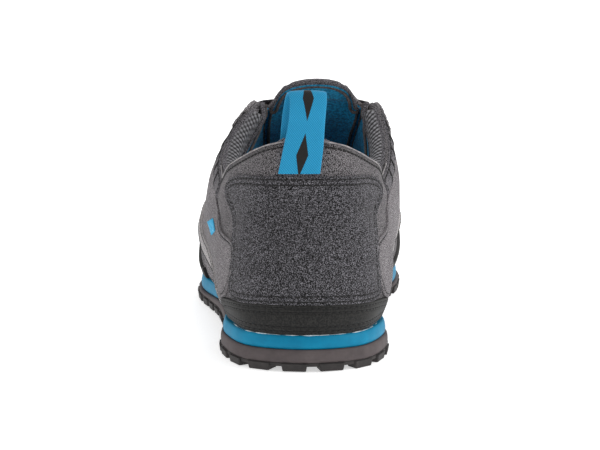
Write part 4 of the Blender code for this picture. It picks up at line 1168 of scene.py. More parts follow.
def sewStrap(side, word):
    # Paler strap over the side panel, rising forward from the sole to the facing
    knots = np.array(strap["line"], float)
    at = np.linspace(0, len(knots) - 1, 70)
    line = through(np.arange(len(knots)), knots, at)
    line = np.stack([roundOf(side * line[:, 0]), line[:, 1] * mm], axis=1)
    along = unit(np.gradient(line, axis=0))
    across = np.stack([-along[:, 1], along[:, 0]], axis=1) * strap["width"] / 2
    outline = np.vstack([line - across, (line + across)[::-1]])
    sewnPanel(
        "sideStrap" + word.capitalize(),
        softOutline(outline, rounding=2.2 * mm),
        strapSuede,
        sidePanels["thickness"] + strap["thickness"],
        rows=(1.5,),
        groove=0.25,
        puff=0.25,
        cell=1.8,
    )


collarBand = {"first": 2.75, "final": 4.78, "depth": 21 * mm, "thickness": 0.7 * mm, "ribs": 5}
cords = []  # thin sewn cords: points along each and its radius at every point


def sewCollarBand(side, word):
    # Band of finer suede under the collar ahead of the heel, with dark ribs sewn across it
    index = np.linspace(collarBand["first"], collarBand["final"], 90)
    s = roundOf(side * index)
    share = (index - index[0]) / (index[-1] - index[0])
    drop = collarBand["depth"] * smoothStep(-0.12, 0.32, share)
    total = wallLength(s)
    outline = np.vstack([
        np.stack([s, total - 1.0 * mm - drop], axis=1),
        np.stack([s, total - 0.7 * mm], axis=1)[::-1],
    ])
    sewnPanel(
        "collarBand" + word.capitalize(),
        softOutline(outline[::side], rounding=1.6 * mm),
        bandSuede,
        collarBand["thickness"],
        rows=(1.2,),
        groove=0.18,
        puff=0.5,
        cell=2.0,
    )
    for rib in range(collarBand["ribs"]):
        middle = 0.24 + 0.64 * rib / (collarBand["ribs"] - 1)
        t = np.linspace(0, 1, 14)
        place = np.interp(middle + 0.035 * t, share, index)
        sRib = roundOf(side * place)
        down = 1.5 * mm + 13.5 * mm * t
        v = upWall(sRib, wallLength(sRib) - down)
        lift = collarBand["thickness"] + 0.25 * mm
        radius = 0.34 * mm * np.sin(np.pi * (0.12 + 0.76 * t)) ** 0.5
        cords.append((skin(sRib, v, lift), radius))


def tube(line, radius, sides=8):
    # Rings of points round a line, as rows by sides
    run = unit(np.gradient(line, axis=0))
    side = unit(np.cross(np.array([0.0, 0.0, 1.0]), run))
    rise = np.cross(run, side)
    angle = np.arange(sides) * 2 * np.pi / sides
    radius = np.broadcast_to(radius, len(line))[:, None, None]
    ring = np.cos(angle)[:, None] * side[:, None, :] + np.sin(angle)[:, None] * rise[:, None, :]
    return line[:, None, :] + ring * radius


def tubeFaces(rows, sides, start=0):
    faces = [tuple(f) for f in gridFaces(rows, sides, start=start, closed=True)]
    faces.append(tuple(start + j for j in range(sides))[::-1])
    faces.append(tuple(start + (rows - 1) * sides + j for j in range(sides)))
    return faces


def layTubes(name, tubes, material, replacing=()):
    # Closed tubes, each given as rows by sides of points, laid as one piece
    points, faces, total = [], [], 0
    for ring in tubes:
        rows, sides = ring.shape[:2]
        points.append(ring.reshape(-1, 3))
        faces += tubeFaces(rows, sides, total)
        total += rows * sides
    return makePiece(name, np.vstack(points), faces, [material], replacing=replacing)


collarRoll = {
    "columns": 720, "around": 102, "ends": 5.0, "padding": (5, 5, 5, 5.2, 5.2, 4.4), "knit": 1.7,
    "relief": 0.3 * mm,
    "suedeTo": 4.35,  # ring row up to which the suede folds over the roll
}


def padCollar():
    # Foam roll inside the collar, covered with coarse spacer mesh
    count, around = collarRoll["columns"], collarRoll["around"]
    s = np.linspace(float(roundOf(-collarRoll["ends"])), float(roundOf(collarRoll["ends"])), count)
    wall = through(np.arange(6), collarRoll["padding"], np.abs(indexOf(s))) * mm
    inside = last["wall"] + 1.0 * mm
    edge = np.full(count, 0.998)
    atEdge, out = form(s, edge), formNormal(s, edge)
    up = unit(np.cross(out, unit(np.gradient(atEdge, axis=0))))
    rise = 0.15 + 0.85 * smoothStep(1.6, 3.2, np.abs(indexOf(s)))
    up *= np.sign(up[:, 2:3]) * rise[:, None]
    flare = relief(s, edge)
    atEdge = atEdge + out * flare[:, None]

    def off(v, depth):
        place = np.full(count, v)
        return form(s, place) + formNormal(s, place) * (relief(s, place)[:, None] - depth)

    rows = [off(row / 9, inside) for row in (6, 7, 8)] + [
        atEdge - out * inside + up * 0.7 * mm,
        atEdge - out * last["wall"] * 0.42 + up * 1.5 * mm,
        atEdge - out * (inside + wall * 0.45) + up * 2.9 * mm,
        atEdge - out * (inside + wall * 0.98) + up * 0.4 * mm,
        off(7.5 / 9, inside + wall * 1.08),
        off(6 / 9, inside + 1.2 * mm),
    ]
    ring = np.stack(rows + rows[:1]).reshape(len(rows) + 1, -1)
    at = np.linspace(0, len(rows), around, endpoint=False)
    grid = through(np.arange(len(rows) + 1), ring, at, closed=True).reshape(around, count, 3)
    middle = grid.mean(axis=0)
    along = runLengths(middle)
    fromEnd = np.minimum(along, along[-1] - along)
    taper = 0.35 + 0.65 * np.sqrt(1 - (1 - np.clip(fromEnd / (7 * mm), 0, 1)) ** 2)
    grid = middle + (grid - middle) * taper[:, None]
    steps = np.linalg.norm(np.diff(np.concatenate([grid, grid[:1]]), axis=0), axis=2)
    girth = np.concatenate([np.zeros((1, count)), np.cumsum(steps, axis=0)])[:-1] / mm
    run = (along / mm)[None, :] * np.sign(s)[None, :]
    pitch = collarRoll["knit"]
    ridge = 0.5 + 0.5 * np.cos(2 * np.pi * (0.72 * run + 0.69 * girth) / pitch)
    hole = 0.5 + 0.5 * np.cos(2 * np.pi * (0.62 * run - 0.60 * girth) / (pitch * 1.15))
    knit = ridge * (0.45 + 0.55 * hole)
    normal = unit(np.cross(np.gradient(grid, axis=1), np.gradient(grid, axis=0)))
    outward = np.sign(np.sum(normal * (grid - middle), axis=2, keepdims=True).mean())
    soft = 0.35 * mm * np.sin(run / 7.3 + girth / 5.0) * np.sin(girth / 3.7 + 0.8)
    meshPart = smoothStep(collarRoll["suedeTo"] - 0.1, collarRoll["suedeTo"] + 0.1, at)[:, None]
    seamGroove = 0.5 * mm * np.exp(-(((at - collarRoll["suedeTo"]) / 0.13) ** 2))[:, None]
    lift = (knit - 0.5) * collarRoll["relief"] * meshPart - seamGroove + soft
    grid = grid + normal * outward * lift[..., None]
    faces = rollFaces(around, count, flip=outward > 0)
    suede = np.zeros(len(faces), int)
    suede[: (around - 1) * (count - 1)] = np.repeat(at[:-1] < collarRoll["suedeTo"], count - 1)
    roll = makePiece(
        "collarRoll",
        grid.reshape(-1, 3),
        faces,
        [airMesh, bandSuede],
        replacing=["collar_padding"],
        faceMaterials=suede,
    )
    # The knit's relief, which the mesh's material also reads to paint shade where the knit lies deep
    layDepth(roll, "knit", knit.ravel())


throatPlaces = np.linspace(-46, 46, 93) * mm


def spanThroat():
    # The form carried on over the throat: points and outward directions by station and by
    # distance from the middle line, and the distance of the edge itself
    index = np.linspace(5.0, 10.2, 105)
    down = np.linspace(26 * mm, 0, 14)
    sides, runs = {}, {}
    for side in (-1, 1):
        s = roundOf(side * index)[:, None]
        v = upWall(s, wallLength(s) - down)
        v[:, -1] = 1.0
        sides[side] = form(s, v)
        runs[side] = unit(sides[side][:, -1] - sides[side][:, -2])
    left, right = sides[-1][:, -1], sides[1][:, -1]
    width = np.linalg.norm(right - left, axis=1)
    reach = (width * np.interp(index, [collarFront, throatFront], [0.15, 0.30]))[:, None, None]
    t = np.linspace(0, 1, 13)[1:-1][None, :, None]
    arch = bezier(
        left[:, None], left[:, None] + runs[-1][:, None] * reach,
        right[:, None] + runs[1][:, None] * reach, right[:, None], t,
    )
    lines = np.concatenate([sides[-1], arch, sides[1][:, ::-1]], axis=1)
    lengths = np.cumsum(np.linalg.norm(np.diff(lines, axis=1), axis=2), axis=1)
    lengths = np.concatenate([np.zeros((len(index), 1)), lengths], axis=1)
    lengths -= lengths[:, lengths.shape[1] // 2][:, None]
    grid = np.array([readAlong(line, row, throatPlaces) for row, line in zip(lengths, lines)])
    normal = unit(np.cross(np.gradient(grid, axis=1), np.gradient(grid, axis=0)))
    normal = np.where(normal[..., 2:3] < 0, -normal, normal)
    return index, grid, normal, lengths[:, -14]


throatIndex, throatGrid, throatNormals, throatEdges = spanThroat()


def cellOf(value, knots):
    # The cell of an even table that a value falls in, and how far into that cell
    place = np.clip((value - knots[0]) / (knots[1] - knots[0]), 0, len(knots) - 1.001)
    cell = place.astype(int)
    return cell, (place - cell)[..., None]


def overThroat(index, place):
    # Point and outward direction over the throat
    index, place = np.broadcast_arrays(np.asarray(index, float), np.asarray(place, float))
    i, a = cellOf(index, throatIndex)
    j, b = cellOf(place, throatPlaces)
    found = []
    for table in (throatGrid, throatNormals):
        low = table[i, j] * (1 - b) + table[i, j + 1] * b
        high = table[i + 1, j] * (1 - b) + table[i + 1, j + 1] * b
        found.append(low * (1 - a) + high * a)
    return found[0], unit(found[1])


def throatEdge(index):
    return np.interp(index, throatIndex, throatEdges)


tongueCut = {
    "half": 27 * mm, "thickness": 3.6 * mm, "rise": 10.4 * mm, "first": 9.9, "final": 5.2,
    "rows": 70, "riseRows": 16, "across": 61,
}


def tongueSheet():
    # Mid-rows of the tongue from front to top: upper face and lining face
    index = np.linspace(tongueCut["first"], tongueCut["final"], tongueCut["rows"])[:, None]
    u = np.linspace(-1, 1, tongueCut["across"])[None, :]
    edge = throatEdge(index)
    half = np.minimum(tongueCut["half"], edge + 8 * mm)
    place = half * u
    point, normal = overThroat(index, place)
    hidden = last["wall"] + 1.0 * mm
    inside = np.clip((edge - np.abs(place) - 2 * mm) / (8 * mm), 0, 1)
    depth = (hidden - (hidden - 0.8 * mm) * inside)[..., None]
    crown = tongueCut["thickness"] * (1 - 0.45 * np.abs(u) ** 5)[..., None] + np.zeros_like(depth)
    crown = crown * (1 - 0.6 * smoothStep(7.0, 5.3, index))[..., None]
    face, lining = point - normal * depth, point - normal * (depth + crown)
    lean = unit(np.array([0.0, -0.70, 0.71]))
    rise = np.linspace(0, 1, tongueCut["riseRows"] + 1)[1:, None, None]
    share = np.abs(u)[..., None]
    lift = lean * tongueCut["rise"] * rise * (1 - share**2.4)
    pinch = np.array([-1.0, 0.0, 0.0]) * face[-1][None, :, :1] * 0.15 * rise * share
    face = np.concatenate([face, face[-1][None] + lift + pinch])
    lining = np.concatenate([lining, lining[-1][None] + lift + pinch])
    return face, lining


def closedSheet(name, face, lining, flip, replacing=()):
    # Suede face and knitted lining over the same grid, joined round the border
    rows, cols = face.shape[:2]
    count = rows * cols
    border = (
        list(range(cols))
        + [i * cols + cols - 1 for i in range(1, rows)]
        + [(rows - 1) * cols + j for j in range(cols - 2, -1, -1)]
        + [i * cols for i in range(rows - 2, 0, -1)]
    )
    faces = [tuple(f) for f in gridFaces(rows, cols, flip=flip)]
    under = [tuple(f) for f in gridFaces(rows, cols, start=count, flip=not flip)]
    sides = [(a, b, b + count, a + count) for a, b in zip(border, border[1:] + border[:1])]
    if not flip:
        sides = [quad[::-1] for quad in sides]
    return makePiece(
        name,
        np.concatenate([face.reshape(-1, 3), lining.reshape(-1, 3)]),
        faces + under + sides,
        [sideSuede, tealLining],
        replacing=replacing,
        faceMaterials=[0] * len(faces) + [1] * len(under) + [0] * len(sides),
        sharp=60,
    )


def padTongue():
    # Padded tongue: suede outside with two sewn channels, knitted lining on the foot's side
    face, lining = tongueSheet()
    rows, cols = face.shape[:2]
    out = unit(face - lining)
    u = np.linspace(-1, 1, cols)[None, :]
    row = np.arange(rows)[:, None] / (rows - 1)
    channelAt = 0.52
    lengthwise = np.exp(-(((np.abs(u) - channelAt) / 0.035) ** 2))
    crosswise = np.exp(-(((row - 0.72) / 0.012) ** 2)) * (np.abs(u) < channelAt)
    crown = np.cos(np.pi / 2 * u) ** 0.6
    puff = 0.9 * mm * crown - 0.8 * mm * np.clip(lengthwise + crosswise, 0, 1)
    face = face + out * (puff * smoothStep(0.0, 0.1, row))[..., None]
    lining = lining - out * (0.5 * mm * crown * smoothStep(0.1, 0.4, row))[..., None]
    closedSheet("tonguePad", face, lining, True, replacing=["tongue"])
    middle = 0.5 * (face + lining)
    start = int(rows * 0.45)
    rim = np.concatenate([middle[start:, 0], middle[-1, 1:-1], middle[start:, -1][::-1]])
    outward = np.concatenate([out[start:, 0], out[-1, 1:-1], out[start:, -1][::-1]])
    for _ in range(6):
        rim[1:-1] = 0.25 * rim[:-2] + 0.5 * rim[1:-1] + 0.25 * rim[2:]
    bindEdge("tongue", rim, outward)
    for side, edge in ((-1, middle[:, 0]), (1, middle[:, -1])):
        sewGusset(side, edge[int(rows * 0.56) : rows - 4])


gusset = {
    # station, depth under the collar's edge and depth inside the form, from the top down
    "rear": ((5.05, -3.0, 5.0), (4.85, 2.0, 8.4), (4.62, 9.0, 9.4), (4.4, 19.0, 10.0)),
    "across": 16,
    "thickness": 1.5 * mm,
}


def sewGusset(side, front):
    # Folded flap that carries the tongue's edge back along the inside of the collar
    knots = np.array(gusset["rear"], float)
    rows = 36
    t = np.linspace(0, 1, rows)
    line = through(np.linspace(0, 1, len(knots)), knots, t[::-1])
    s = roundOf(side * line[:, 0])
    under = line[:, 1] * mm
    rear = skin(s, upWall(s, wallLength(s) - np.maximum(under, 0)), -line[:, 2] * mm)
    rear[:, 2] += np.maximum(-under, 0)
    near = readAlong(front, np.arange(len(front)), np.linspace(0, len(front) - 1, rows))
    w = np.linspace(0, 1, gusset["across"])[None, :, None]
    sheet = near[:, None, :] * (1 - w) + rear[:, None, :] * w
    sheet = sheet + np.array([side, 0.0, 0.0]) * 1.6 * mm * np.sin(np.pi * w)
    normal = unit(np.cross(np.gradient(sheet, axis=1), np.gradient(sheet, axis=0)))
    normal = normal * np.sign(normal[..., :1]) * side
    half = gusset["thickness"] / 2
    word = "Lateral" if side < 0 else "Medial"
    flap = closedSheet(
        "tongueGusset" + word, sheet + normal * half, sheet - normal * half, side < 0
    )
    bindEdge("gusset" + word, sheet[:, -1], normal[:, -1])


def bindEdge(name, rim, outward):
    # Folded leather binding round the tongue's edge, and a thin cord beside it
    side = unit(np.cross(outward, unit(np.gradient(rim, axis=0))))
    sides = 16
    angle = np.arange(sides) * 2 * np.pi / sides
    wide, thick = 1.0 * mm, 1.15 * mm
    ring = (
        rim[:, None, :]
        + (np.cos(angle)[:, None] * side[:, None, :]) * wide
        + (np.sin(angle)[:, None] * outward[:, None, :]) * thick
    )
    layTubes(name + "Binding", [ring], bandSuede)
    towards = np.sign(np.sum(side * (rim.mean(axis=0) - rim), axis=1, keepdims=True))
    inner = rim - outward * 2.3 * mm + side * towards * 1.6 * mm
    layTubes(name + "Piping", [tube(inner, 0.75 * mm)], bindingLeather)


def setEyelets():
    # Rolled rims of the eyelets, turned from one outline
    foot = 0.3 * mm + eyestays["thickness"]
    outline = np.array([
        (2.20, -2.6), (2.25, 0.0), (2.45, 0.7), (2.85, 1.10),
        (3.30, 1.15), (3.75, 0.85), (4.05, 0.35), (4.10, -0.3),
    ]) * mm
    sides = 32
    angle = np.arange(sides) * 2 * np.pi / sides
    numbers = {-1: 0, 1: 0}
    for side, s, v, centre, axis in eyeletPlaces():
        numbers[side] += 1
        cross = unit(np.cross(axis, np.array([0.0, 0.0, 1.0])))
        other = np.cross(axis, cross)
        spokes = np.cos(angle)[:, None] * cross + np.sin(angle)[:, None] * other
        base = centre + axis * (foot + relief(s, v))
        points = base + outline[:, 0][:, None, None] * spokes + outline[:, 1][:, None, None] * axis
        word = f"{'lateral' if side < 0 else 'medial'}_{numbers[side]}"
        faces = gridFaces(len(outline), sides, closed=True, flip=True)
        makePiece(
            "eyeletRim_" + word,
            points.reshape(-1, 3),
            faces,
            [blackEnamel],
            replacing=["eyelet_" + word],
        )


lace = {"width": 6.0 * mm, "thickness": 1.35 * mm, "lift": 1.6 * mm, "over": 0.9 * mm}


def laceRun(start, end, over):
    # The middle line of one crossing: up out of one eyelet, over the tongue, down into the other
    t = np.linspace(0, 1, 41)
    index = start[0] + (end[0] - start[0]) * t
    edge = throatEdge(index)
    across = start[1] + (end[1] - start[1]) * t
    place = (edge + eyelets["inset"]) * across
    point, normal = overThroat(index, place)
    beyond = np.abs(place) - edge
    top = eyestays["thickness"] + 0.3 * mm + eyelets["height"]
    heights = [lace["lift"], 2.3 * mm, top + 0.9 * mm, top + 0.6 * mm]
    lift = np.interp(beyond, [-12 * mm, -4 * mm, 3 * mm, 7 * mm], heights)
    line = point + normal * (lift + over * np.sin(np.pi * t) ** 2)[:, None]
    first = point[0] + normal[0] * np.array([-3.2 * mm, 0.6 * mm])[:, None]
    final = point[-1] + normal[-1] * np.array([0.6 * mm, -3.2 * mm])[:, None]
    line = np.vstack([first, line[2:-2], final])
    normals = np.vstack([normal[:1], normal[:1], normal[2:-2], normal[-1:], normal[-1:]])
    lengths = runLengths(line)
    at = np.linspace(0, lengths[-1], 90)
    smooth = through(lengths, line, at)
    direction = unit(line[-3] - line[2])
    side = unit(np.cross(through(lengths, normals, at), direction))
    return smooth, side, at


def bandSection(sides, edgePower, facePower):
    # A flat band's rounded section: places across it and through it, from -1 to 1
    angle = np.arange(sides) * 2 * np.pi / sides
    waves = ((np.cos(angle), edgePower), (np.sin(angle), facePower))
    return [np.sign(wave) * np.abs(wave) ** power for wave, power in waves]


def mapBand(piece, across, runs):
    # Millimetres across and along the band, for every ring of each of its runs
    spots = [np.stack(np.meshgrid(across / mm, at / mm), axis=-1).reshape(-1, 2) for at in runs]
    layMap(piece, np.vstack(spots))


def threadLaces():
    stationsOf = np.abs(indexOf(eyeletRounds(1)))
    crossings = [((stationsOf[-1], -1), (stationsOf[-1], 1), 0.4 * mm)]
    for here, ahead in zip(stationsOf, stationsOf[1:]):
        crossings.append(((here, -1), (ahead, 1), 0.0))
        crossings.append(((here, 1), (ahead, -1), lace["over"]))
    tubes, runs = [], []
    across, deep = bandSection(20, 0.45, 0.7)
    for start, end, over in crossings:
        line, side, at = laceRun(start, end, over)
        run = unit(np.gradient(line, axis=0))
        side = unit(side - run * np.sum(side * run, axis=1, keepdims=True))
        rise = np.cross(run, side)
        spread = smoothStep(2.5 * mm, 9 * mm, np.minimum(at, at[-1] - at))
        wide = lace["width"] / 2 * (0.55 + 0.45 * spread)
        thick = lace["thickness"] / 2 * (1.35 - 0.35 * spread)
        tubes.append(
            line[:, None, :]
            + across[:, None] * side[:, None, :] * wide[:, None, None]
            + deep[:, None] * rise[:, None, :] * thick[:, None, None]
        )
        runs.append(at)
    piece = layTubes("flatLaces", tubes, laceWeave, replacing=["laces"])
    mapBand(piece, across * lace["width"] / 2, runs)


heelLoop = {"width": 18 * mm, "thickness": 1.4 * mm, "rise": 21 * mm, "leg": 17 * mm, "padding": 5 * mm}


def sewHeelLoop():
    # Webbing loop: up the outside of the heel, over, and down inside the collar
    zero = np.array([0.0])
    footV = upWall(zero, heelPanel["top"] + 1.2 * mm)
    out = last["gap"] + heelLoop["thickness"] / 2
    foot = skin(zero, footV, np.array([0.35 * mm]))[0]
    edge = form(zero, np.array([1.0]))[0]
    inside = last["wall"] + 2 * last["gap"] + heelLoop["padding"] + heelLoop["thickness"] / 2 + 0.5 * mm
    high = edge[2] + heelLoop["rise"]
    back, front = edge[1] - out, edge[1] + inside
    middle = 0.5 * (back + front)
    rows = np.array([
        (foot[1], foot[2]),
        (back - 1.9 * mm, edge[2] - 5 * mm),
        (back - 1.2 * mm, edge[2] + heelLoop["rise"] * 0.35),
        (back - 0.4 * mm, high - 4 * mm),
        (middle - 2.2 * mm, high),
        (middle + 2.4 * mm, high - 1.2 * mm),
        (front + 0.8 * mm, high - 7 * mm),
        (front + 0.6 * mm, edge[2] + 4 * mm),
        (front + 0.8 * mm, edge[2] - heelLoop["leg"] * 0.5),
    ])
    rows = np.column_stack([np.zeros(len(rows)), rows])
    lengths = runLengths(rows)
    at = np.linspace(0, lengths[-1], 170)
    line = through(lengths, rows, at)
    share = at / lengths[-1]
    # It leans a little to the right on its way up, and its inner leg hangs to the left
    lean = np.array([-2.5, -0.8, 0.2, 1.2, 1.4, 0.6, -1.0, -2.4]) * mm
    line[:, 0] = through([0, 0.15, 0.25, 0.38, 0.46, 0.56, 0.75, 1.0], lean, share)[..., 0]
    run = unit(np.gradient(line, axis=0))
    sideways = np.array([1.0, 0.0, 0.0])
    normal = unit(np.cross(run, sideways))
    across, deep = bandSection(44, 0.3, 0.6)
    narrow = through([0, 0.15, 0.35, 0.46, 0.6, 1.0], [1.0, 0.95, 0.86, 0.88, 0.95, 1.0], share)[..., 0]
    cup = 0.5 * mm * (across**2)[None, :] * np.sin(np.pi * share)[:, None]
    ring = (
        line[:, None, :]
        + across[:, None] * sideways * (heelLoop["width"] / 2 * narrow)[:, None, None]
        + (deep * heelLoop["thickness"] / 2 + cup)[..., None] * normal[:, None, :]
    )
    piece = layTubes("heelLoop", [ring], heelWebbing, replacing=["pull_loop"])
    mapBand(piece, across * heelLoop["width"] / 2, [at])


print("stage: sole")


def soleRing(s, share, inset, height):
    plan, outward = feather(s)
    rim = (stationValue("rim", s) * last["rim"])[..., None]
    place = plan + outward * (rim * share - inset)
    return np.concatenate([place, height(place[..., 1])[..., None]], axis=-1)


ringCount = 480
ringRounds = roundAt[0] + perimeter * np.arange(ringCount) / ringCount


def loftSole(name, rings, material, node):
    # A layer of the sole from rings that start at the toe, closed by strips across the foot
    points = np.concatenate(rings)
    faces = [tuple(f) for f in gridFaces(len(rings), ringCount, closed=True)]
    half = ringCount // 2
    for start, flip in ((0, True), ((len(rings) - 1) * ringCount, False)):
        for i in range(half):
            corners = (i, i + 1, (ringCount - i - 1) % ringCount, (ringCount - i) % ringCount)
            quad = tuple(dict.fromkeys(start + corner for corner in corners))
            if len(quad) > 2:
                faces.append(quad if flip else quad[::-1])
    makePiece(name, points, faces, [material], replacing=[node], sharp=50)


def foamLayer(name, foot, full, column, shares, rounding, material, node):
    rings = []
    for t in (0.0, 0.03, 0.10, 0.22, 0.36, 0.5, 0.64, 0.78, 0.90, 0.97, 1.0):
        share = float(through([0, 0.25, 0.75, 1.0], shares, np.array(t))[..., 0])
        near = min(t, 1 - t) * 2
        inset = rounding * (1 - math.sqrt(max(0.0, 1 - (1 - min(1, near / 0.24)) ** 2)))
        rings.append(
            soleRing(ringRounds, share, inset, lambda y, t=t: foot(y) + soleHeight(column, y, full) * t)
        )
    loftSole(name, rings, material, node)


def pourSole():
    foamLayer(
        "midsoleGrey",
        lambda y: outsoleTop(y) + 0.02 * mm,
        last["lowerFoam"] + 0.28 * mm,
        2,
        [1.0, 1.06, 1.03, 0.92],
        0.5 * mm,
        greyFoam,
        "midsole_lower",
    )
    foamLayer(
        "midsoleBlue",
        lambda y: lowerFoamTop(y) + 0.02 * mm,
        last["upperFoam"] + 0.28 * mm,
        3,
        [0.62, 0.70, 0.58, 0.42],
        0.45 * mm,
        blueFoam,
        "midsole_upper",
    )


lugs = {
    "rimPitch": 14.5 * mm, "rimLength": 10 * mm, "rimWidth": 10 * mm, "standOut": 1.0 * mm,
    "innerPitch": 18.5 * mm, "innerSize": 12.5 * mm, "draft": 0.8 * mm,
}


def lugShape(corners, topShare, points, faces):
    # A tapered lug with rounded corners, a chamfered tread face and a shallow dished middle
    spots = []
    for i, corner in enumerate(corners):
        before, after = corners[i - 1], corners[(i + 1) % len(corners)]
        spots += [corner + (before - corner) * t for t in (0.16, 0.05)]
        spots += [corner + (after - corner) * t for t in (0.05, 0.16)]
    spots = np.array(spots)
    middle = spots.mean(axis=0)
    inward = unit(middle - spots)
    count = len(spots)
    depth = last["lugDepth"] + last["outsoleSheet"] * topShare
    draft = lugs["draft"]
    levels = [  # inward shift and height over the floor
        (0.0, depth), (draft * 0.75, 0.45 * mm), (draft, 0.12 * mm),
        (draft + 0.35 * mm, 0.0), (draft + 1.9 * mm, 0.0), (draft + 2.3 * mm, 0.5 * mm),
    ]
    start = sum(len(p) for p in points)
    for shift, height in levels:
        place = spots + inward * shift
        points.append(np.column_stack([place, groundLift(place[:, 1]) + height]))
    faces.extend(gridFaces(len(levels), count, start=start, closed=True).tolist())
    faces.append(tuple(start + j for j in range(count)))
    faces.append(tuple(start + (len(levels) - 1) * count + j for j in range(count))[::-1])


def pressOutsole():
    rings = [
        soleRing(ringRounds, share, 0.0, height)
        for share, height in (
            (0.80, lambda y: groundLift(y) + last["lugDepth"]),
            (0.92, lambda y: groundLift(y) + last["lugDepth"] + 0.1 * mm),
            (0.99, lambda y: groundLift(y) + last["lugDepth"] + 0.5 * mm),
            (1.01, lambda y: outsoleTop(y) - 0.4 * mm),
            (0.98, lambda y: outsoleTop(y)),
        )
    ]
    loftSole("outsoleSheet", rings, soleRubber, "outsole")
    points, faces = [], []
    count = int(round(perimeter / lugs["rimPitch"]))
    pitch = perimeter / count
    for k in range(count):
        middle = roundAt[0] + (k + 0.5) * pitch
        ends = np.array([middle - lugs["rimLength"] / 2, middle + lugs["rimLength"] / 2])
        plan, outward = feather(ends)
        rim = (stationValue("rim", ends) * last["rim"])[:, None]
        outer = plan + outward * (rim + lugs["standOut"])
        inner = plan + outward * (rim + lugs["standOut"] - lugs["rimWidth"] * (1.0 - 0.25 * (k % 2)))
        lugShape(np.array([outer[0], outer[1], inner[1], inner[0]]), 0.8, points, faces)
    margin = lugs["rimWidth"] + lugs["innerSize"] * 0.62
    edge = soleRing(roundOf(np.linspace(-toe, toe, 241)), 1.0, 0.0, groundLift)
    lateral, medial = edge[:121][::-1], edge[120:]
    for row in range(int((last["length"] - 2 * margin) / lugs["innerPitch"]) + 1):
        y = margin + row * lugs["innerPitch"]
        left = np.interp(y, lateral[:, 1], lateral[:, 0])
        right = np.interp(y, medial[:, 1], medial[:, 0])
        room = right - left - 2 * margin
        columns = max(1, int(room / lugs["innerPitch"]) + 1)
        if room < 0:
            continue
        for column in range(columns):
            share = 0.5 if columns == 1 else column / (columns - 1)
            x = left + margin + room * share
            angles = math.radians(45 if row % 2 else 0) + np.arange(4) * math.pi / 2
            radius = lugs["innerSize"] / 2
            corners = np.stack([x + radius * np.cos(angles), y + radius * np.sin(angles)], axis=1)
            lugShape(corners, 0.6, points, faces)
    makePiece("outsoleLugs", np.vstack(points), faces, [soleRubber], sharp=35)


def layFootbed():
    def ring(inset, height):
        plan, outward = feather(ringRounds)
        place = plan - outward * (last["wall"] + 1.2 * mm + inset)
        return np.concatenate([place, (soleTop(place[..., 1]) + height)[..., None]], axis=-1)

    rings = [ring(0, 0.3 * mm), ring(-0.2 * mm, 2.6 * mm), ring(0, 3.6 * mm), ring(0.8 * mm, 3.9 * mm)]
    loftSole("footbed", rings, footbedCloth, "insole")


def beadGlue():
    # Thin uneven line of set glue where the heel band meets the blue foam
    s = np.linspace(-44 * mm, 44 * mm, 240)
    line = skin(s, np.zeros(len(s)), np.full(len(s), heelBand["thickness"] + 0.35 * mm))
    line[:, 2] = soleTop(line[:, 1]) + 0.15 * mm
    uneven = np.sin(s / (2.3 * mm)) * np.sin(s / (5.9 * mm) + 1.0) + 0.5 * np.sin(s / (1.1 * mm))
    radius = 0.12 * mm + 0.13 * mm * np.clip(uneven, -0.8, 1)
    layTubes("glueLine", [tube(line, radius, sides=6)], paleGlue)


print("stage: stitches")


def oneStitch(place, along, out):
    # A short run of thread, drawn in at both ends
    sides = 6
    angle = np.arange(sides) * 2 * np.pi / sides
    spokes = np.cos(angle)[:, None] * np.cross(out, along) + np.sin(angle)[:, None] * out
    rings = ((-1.0, 0.35), (-0.72, 0.9), (0.0, 1.0), (0.72, 0.9), (1.0, 0.35))
    half, radius = stitch["length"] / 2, stitch["thickness"] / 2
    return np.array([place + along * reach * half + spokes * width * radius for reach, width in rings])


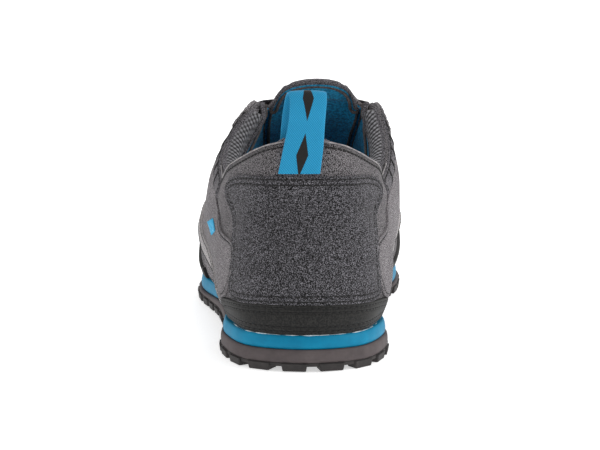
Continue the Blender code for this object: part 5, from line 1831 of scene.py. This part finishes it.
def finishTopline():
    # The collar's row of stitches and the pale cut edge of the suede above it
    s = np.linspace(float(roundOf(-4.8)), float(roundOf(4.8)), 300)
    v = upWall(s, wallLength(s) - 1.9 * mm)
    addSeam(skin(s, v, 0.05 * mm), formNormal(s, v), closed=False)
    s = np.linspace(float(roundOf(-3.3)), float(roundOf(3.3)), 400)
    edge = skin(s, 1.0, np.full_like(s, -0.15 * mm)) + np.array([0, 0, 0.25 * mm])
    radius = 0.3 * mm + 0.05 * mm * np.sin(s / (1.9 * mm))
    layTubes("cutEdge", [tube(edge, radius)], rawEdge)


def sewSeams():
    tubes = []
    for line, normals, closed in seams:
        if closed:
            line, normals = np.vstack([line, line[:1]]), np.vstack([normals, normals[:1]])
        lengths = runLengths(line)
        count = max(2, int(lengths[-1] / stitch["pitch"]))
        at = (np.arange(count) + 0.5) * lengths[-1] / count
        here, ahead = readAlong(line, lengths, at), readAlong(line, lengths, at + 0.5 * mm)
        out = unit(readAlong(normals, lengths, at))
        along = unit(ahead - here + 1e-9)
        for place, direction, lift in zip(here, along, out):
            tubes.append(oneStitch(place, unit(direction - lift * (direction @ lift)), lift))
    layTubes("seamStitches", tubes, darkThreadAndSeamShade)


badge = {"station": -3.15, "height": 37 * mm, "length": 30 * mm, "tall": 8.0 * mm, "threads": 48}


def embroiderLozenge():
    # Plain lozenge in blue satin stitch, low on the outer side
    threads = []
    centre = float(roundOf(badge["station"]))
    for k in range(badge["threads"]):
        along = (k + 0.5) / badge["threads"] * 2 - 1
        tall = badge["tall"] * (1 - abs(along)) * (0.92 + 0.08 * math.cos(k * 2.4))
        t = np.linspace(-0.5, 0.5, 9)
        s = centre + along * badge["length"] / 2 + 1.2 * mm * t
        v = upWall(s, badge["height"] + tall * t)
        lift = sidePanels["thickness"] + 0.35 * mm + 0.35 * mm * np.cos(np.pi * t)
        threads.append(tube(skin(s, v, lift), 0.36 * mm, sides=6))
    layTubes("blueLozenge", threads, blueThread)


sewShell()
sewHeelPanel()
sewHeelBand()
for side, word in ((-1, "lateral"), (1, "medial")):
    sewSidePanel(side, word)
    sewCollarBand(side, word)
    sewEyestay(side, word)
    sewStrap(side, word)
layTubes("collarRibs", [tube(line, radius) for line, radius in cords], darkThreadAndSeamShade)
mouldToeGuard()
print("stage: collar, tongue, laces and loop")
padCollar()
padTongue()
setEyelets()
threadLaces()
sewHeelLoop()
pourSole()
pressOutsole()
layFootbed()
beadGlue()
finishTopline()
sewSeams()
embroiderLozenge()
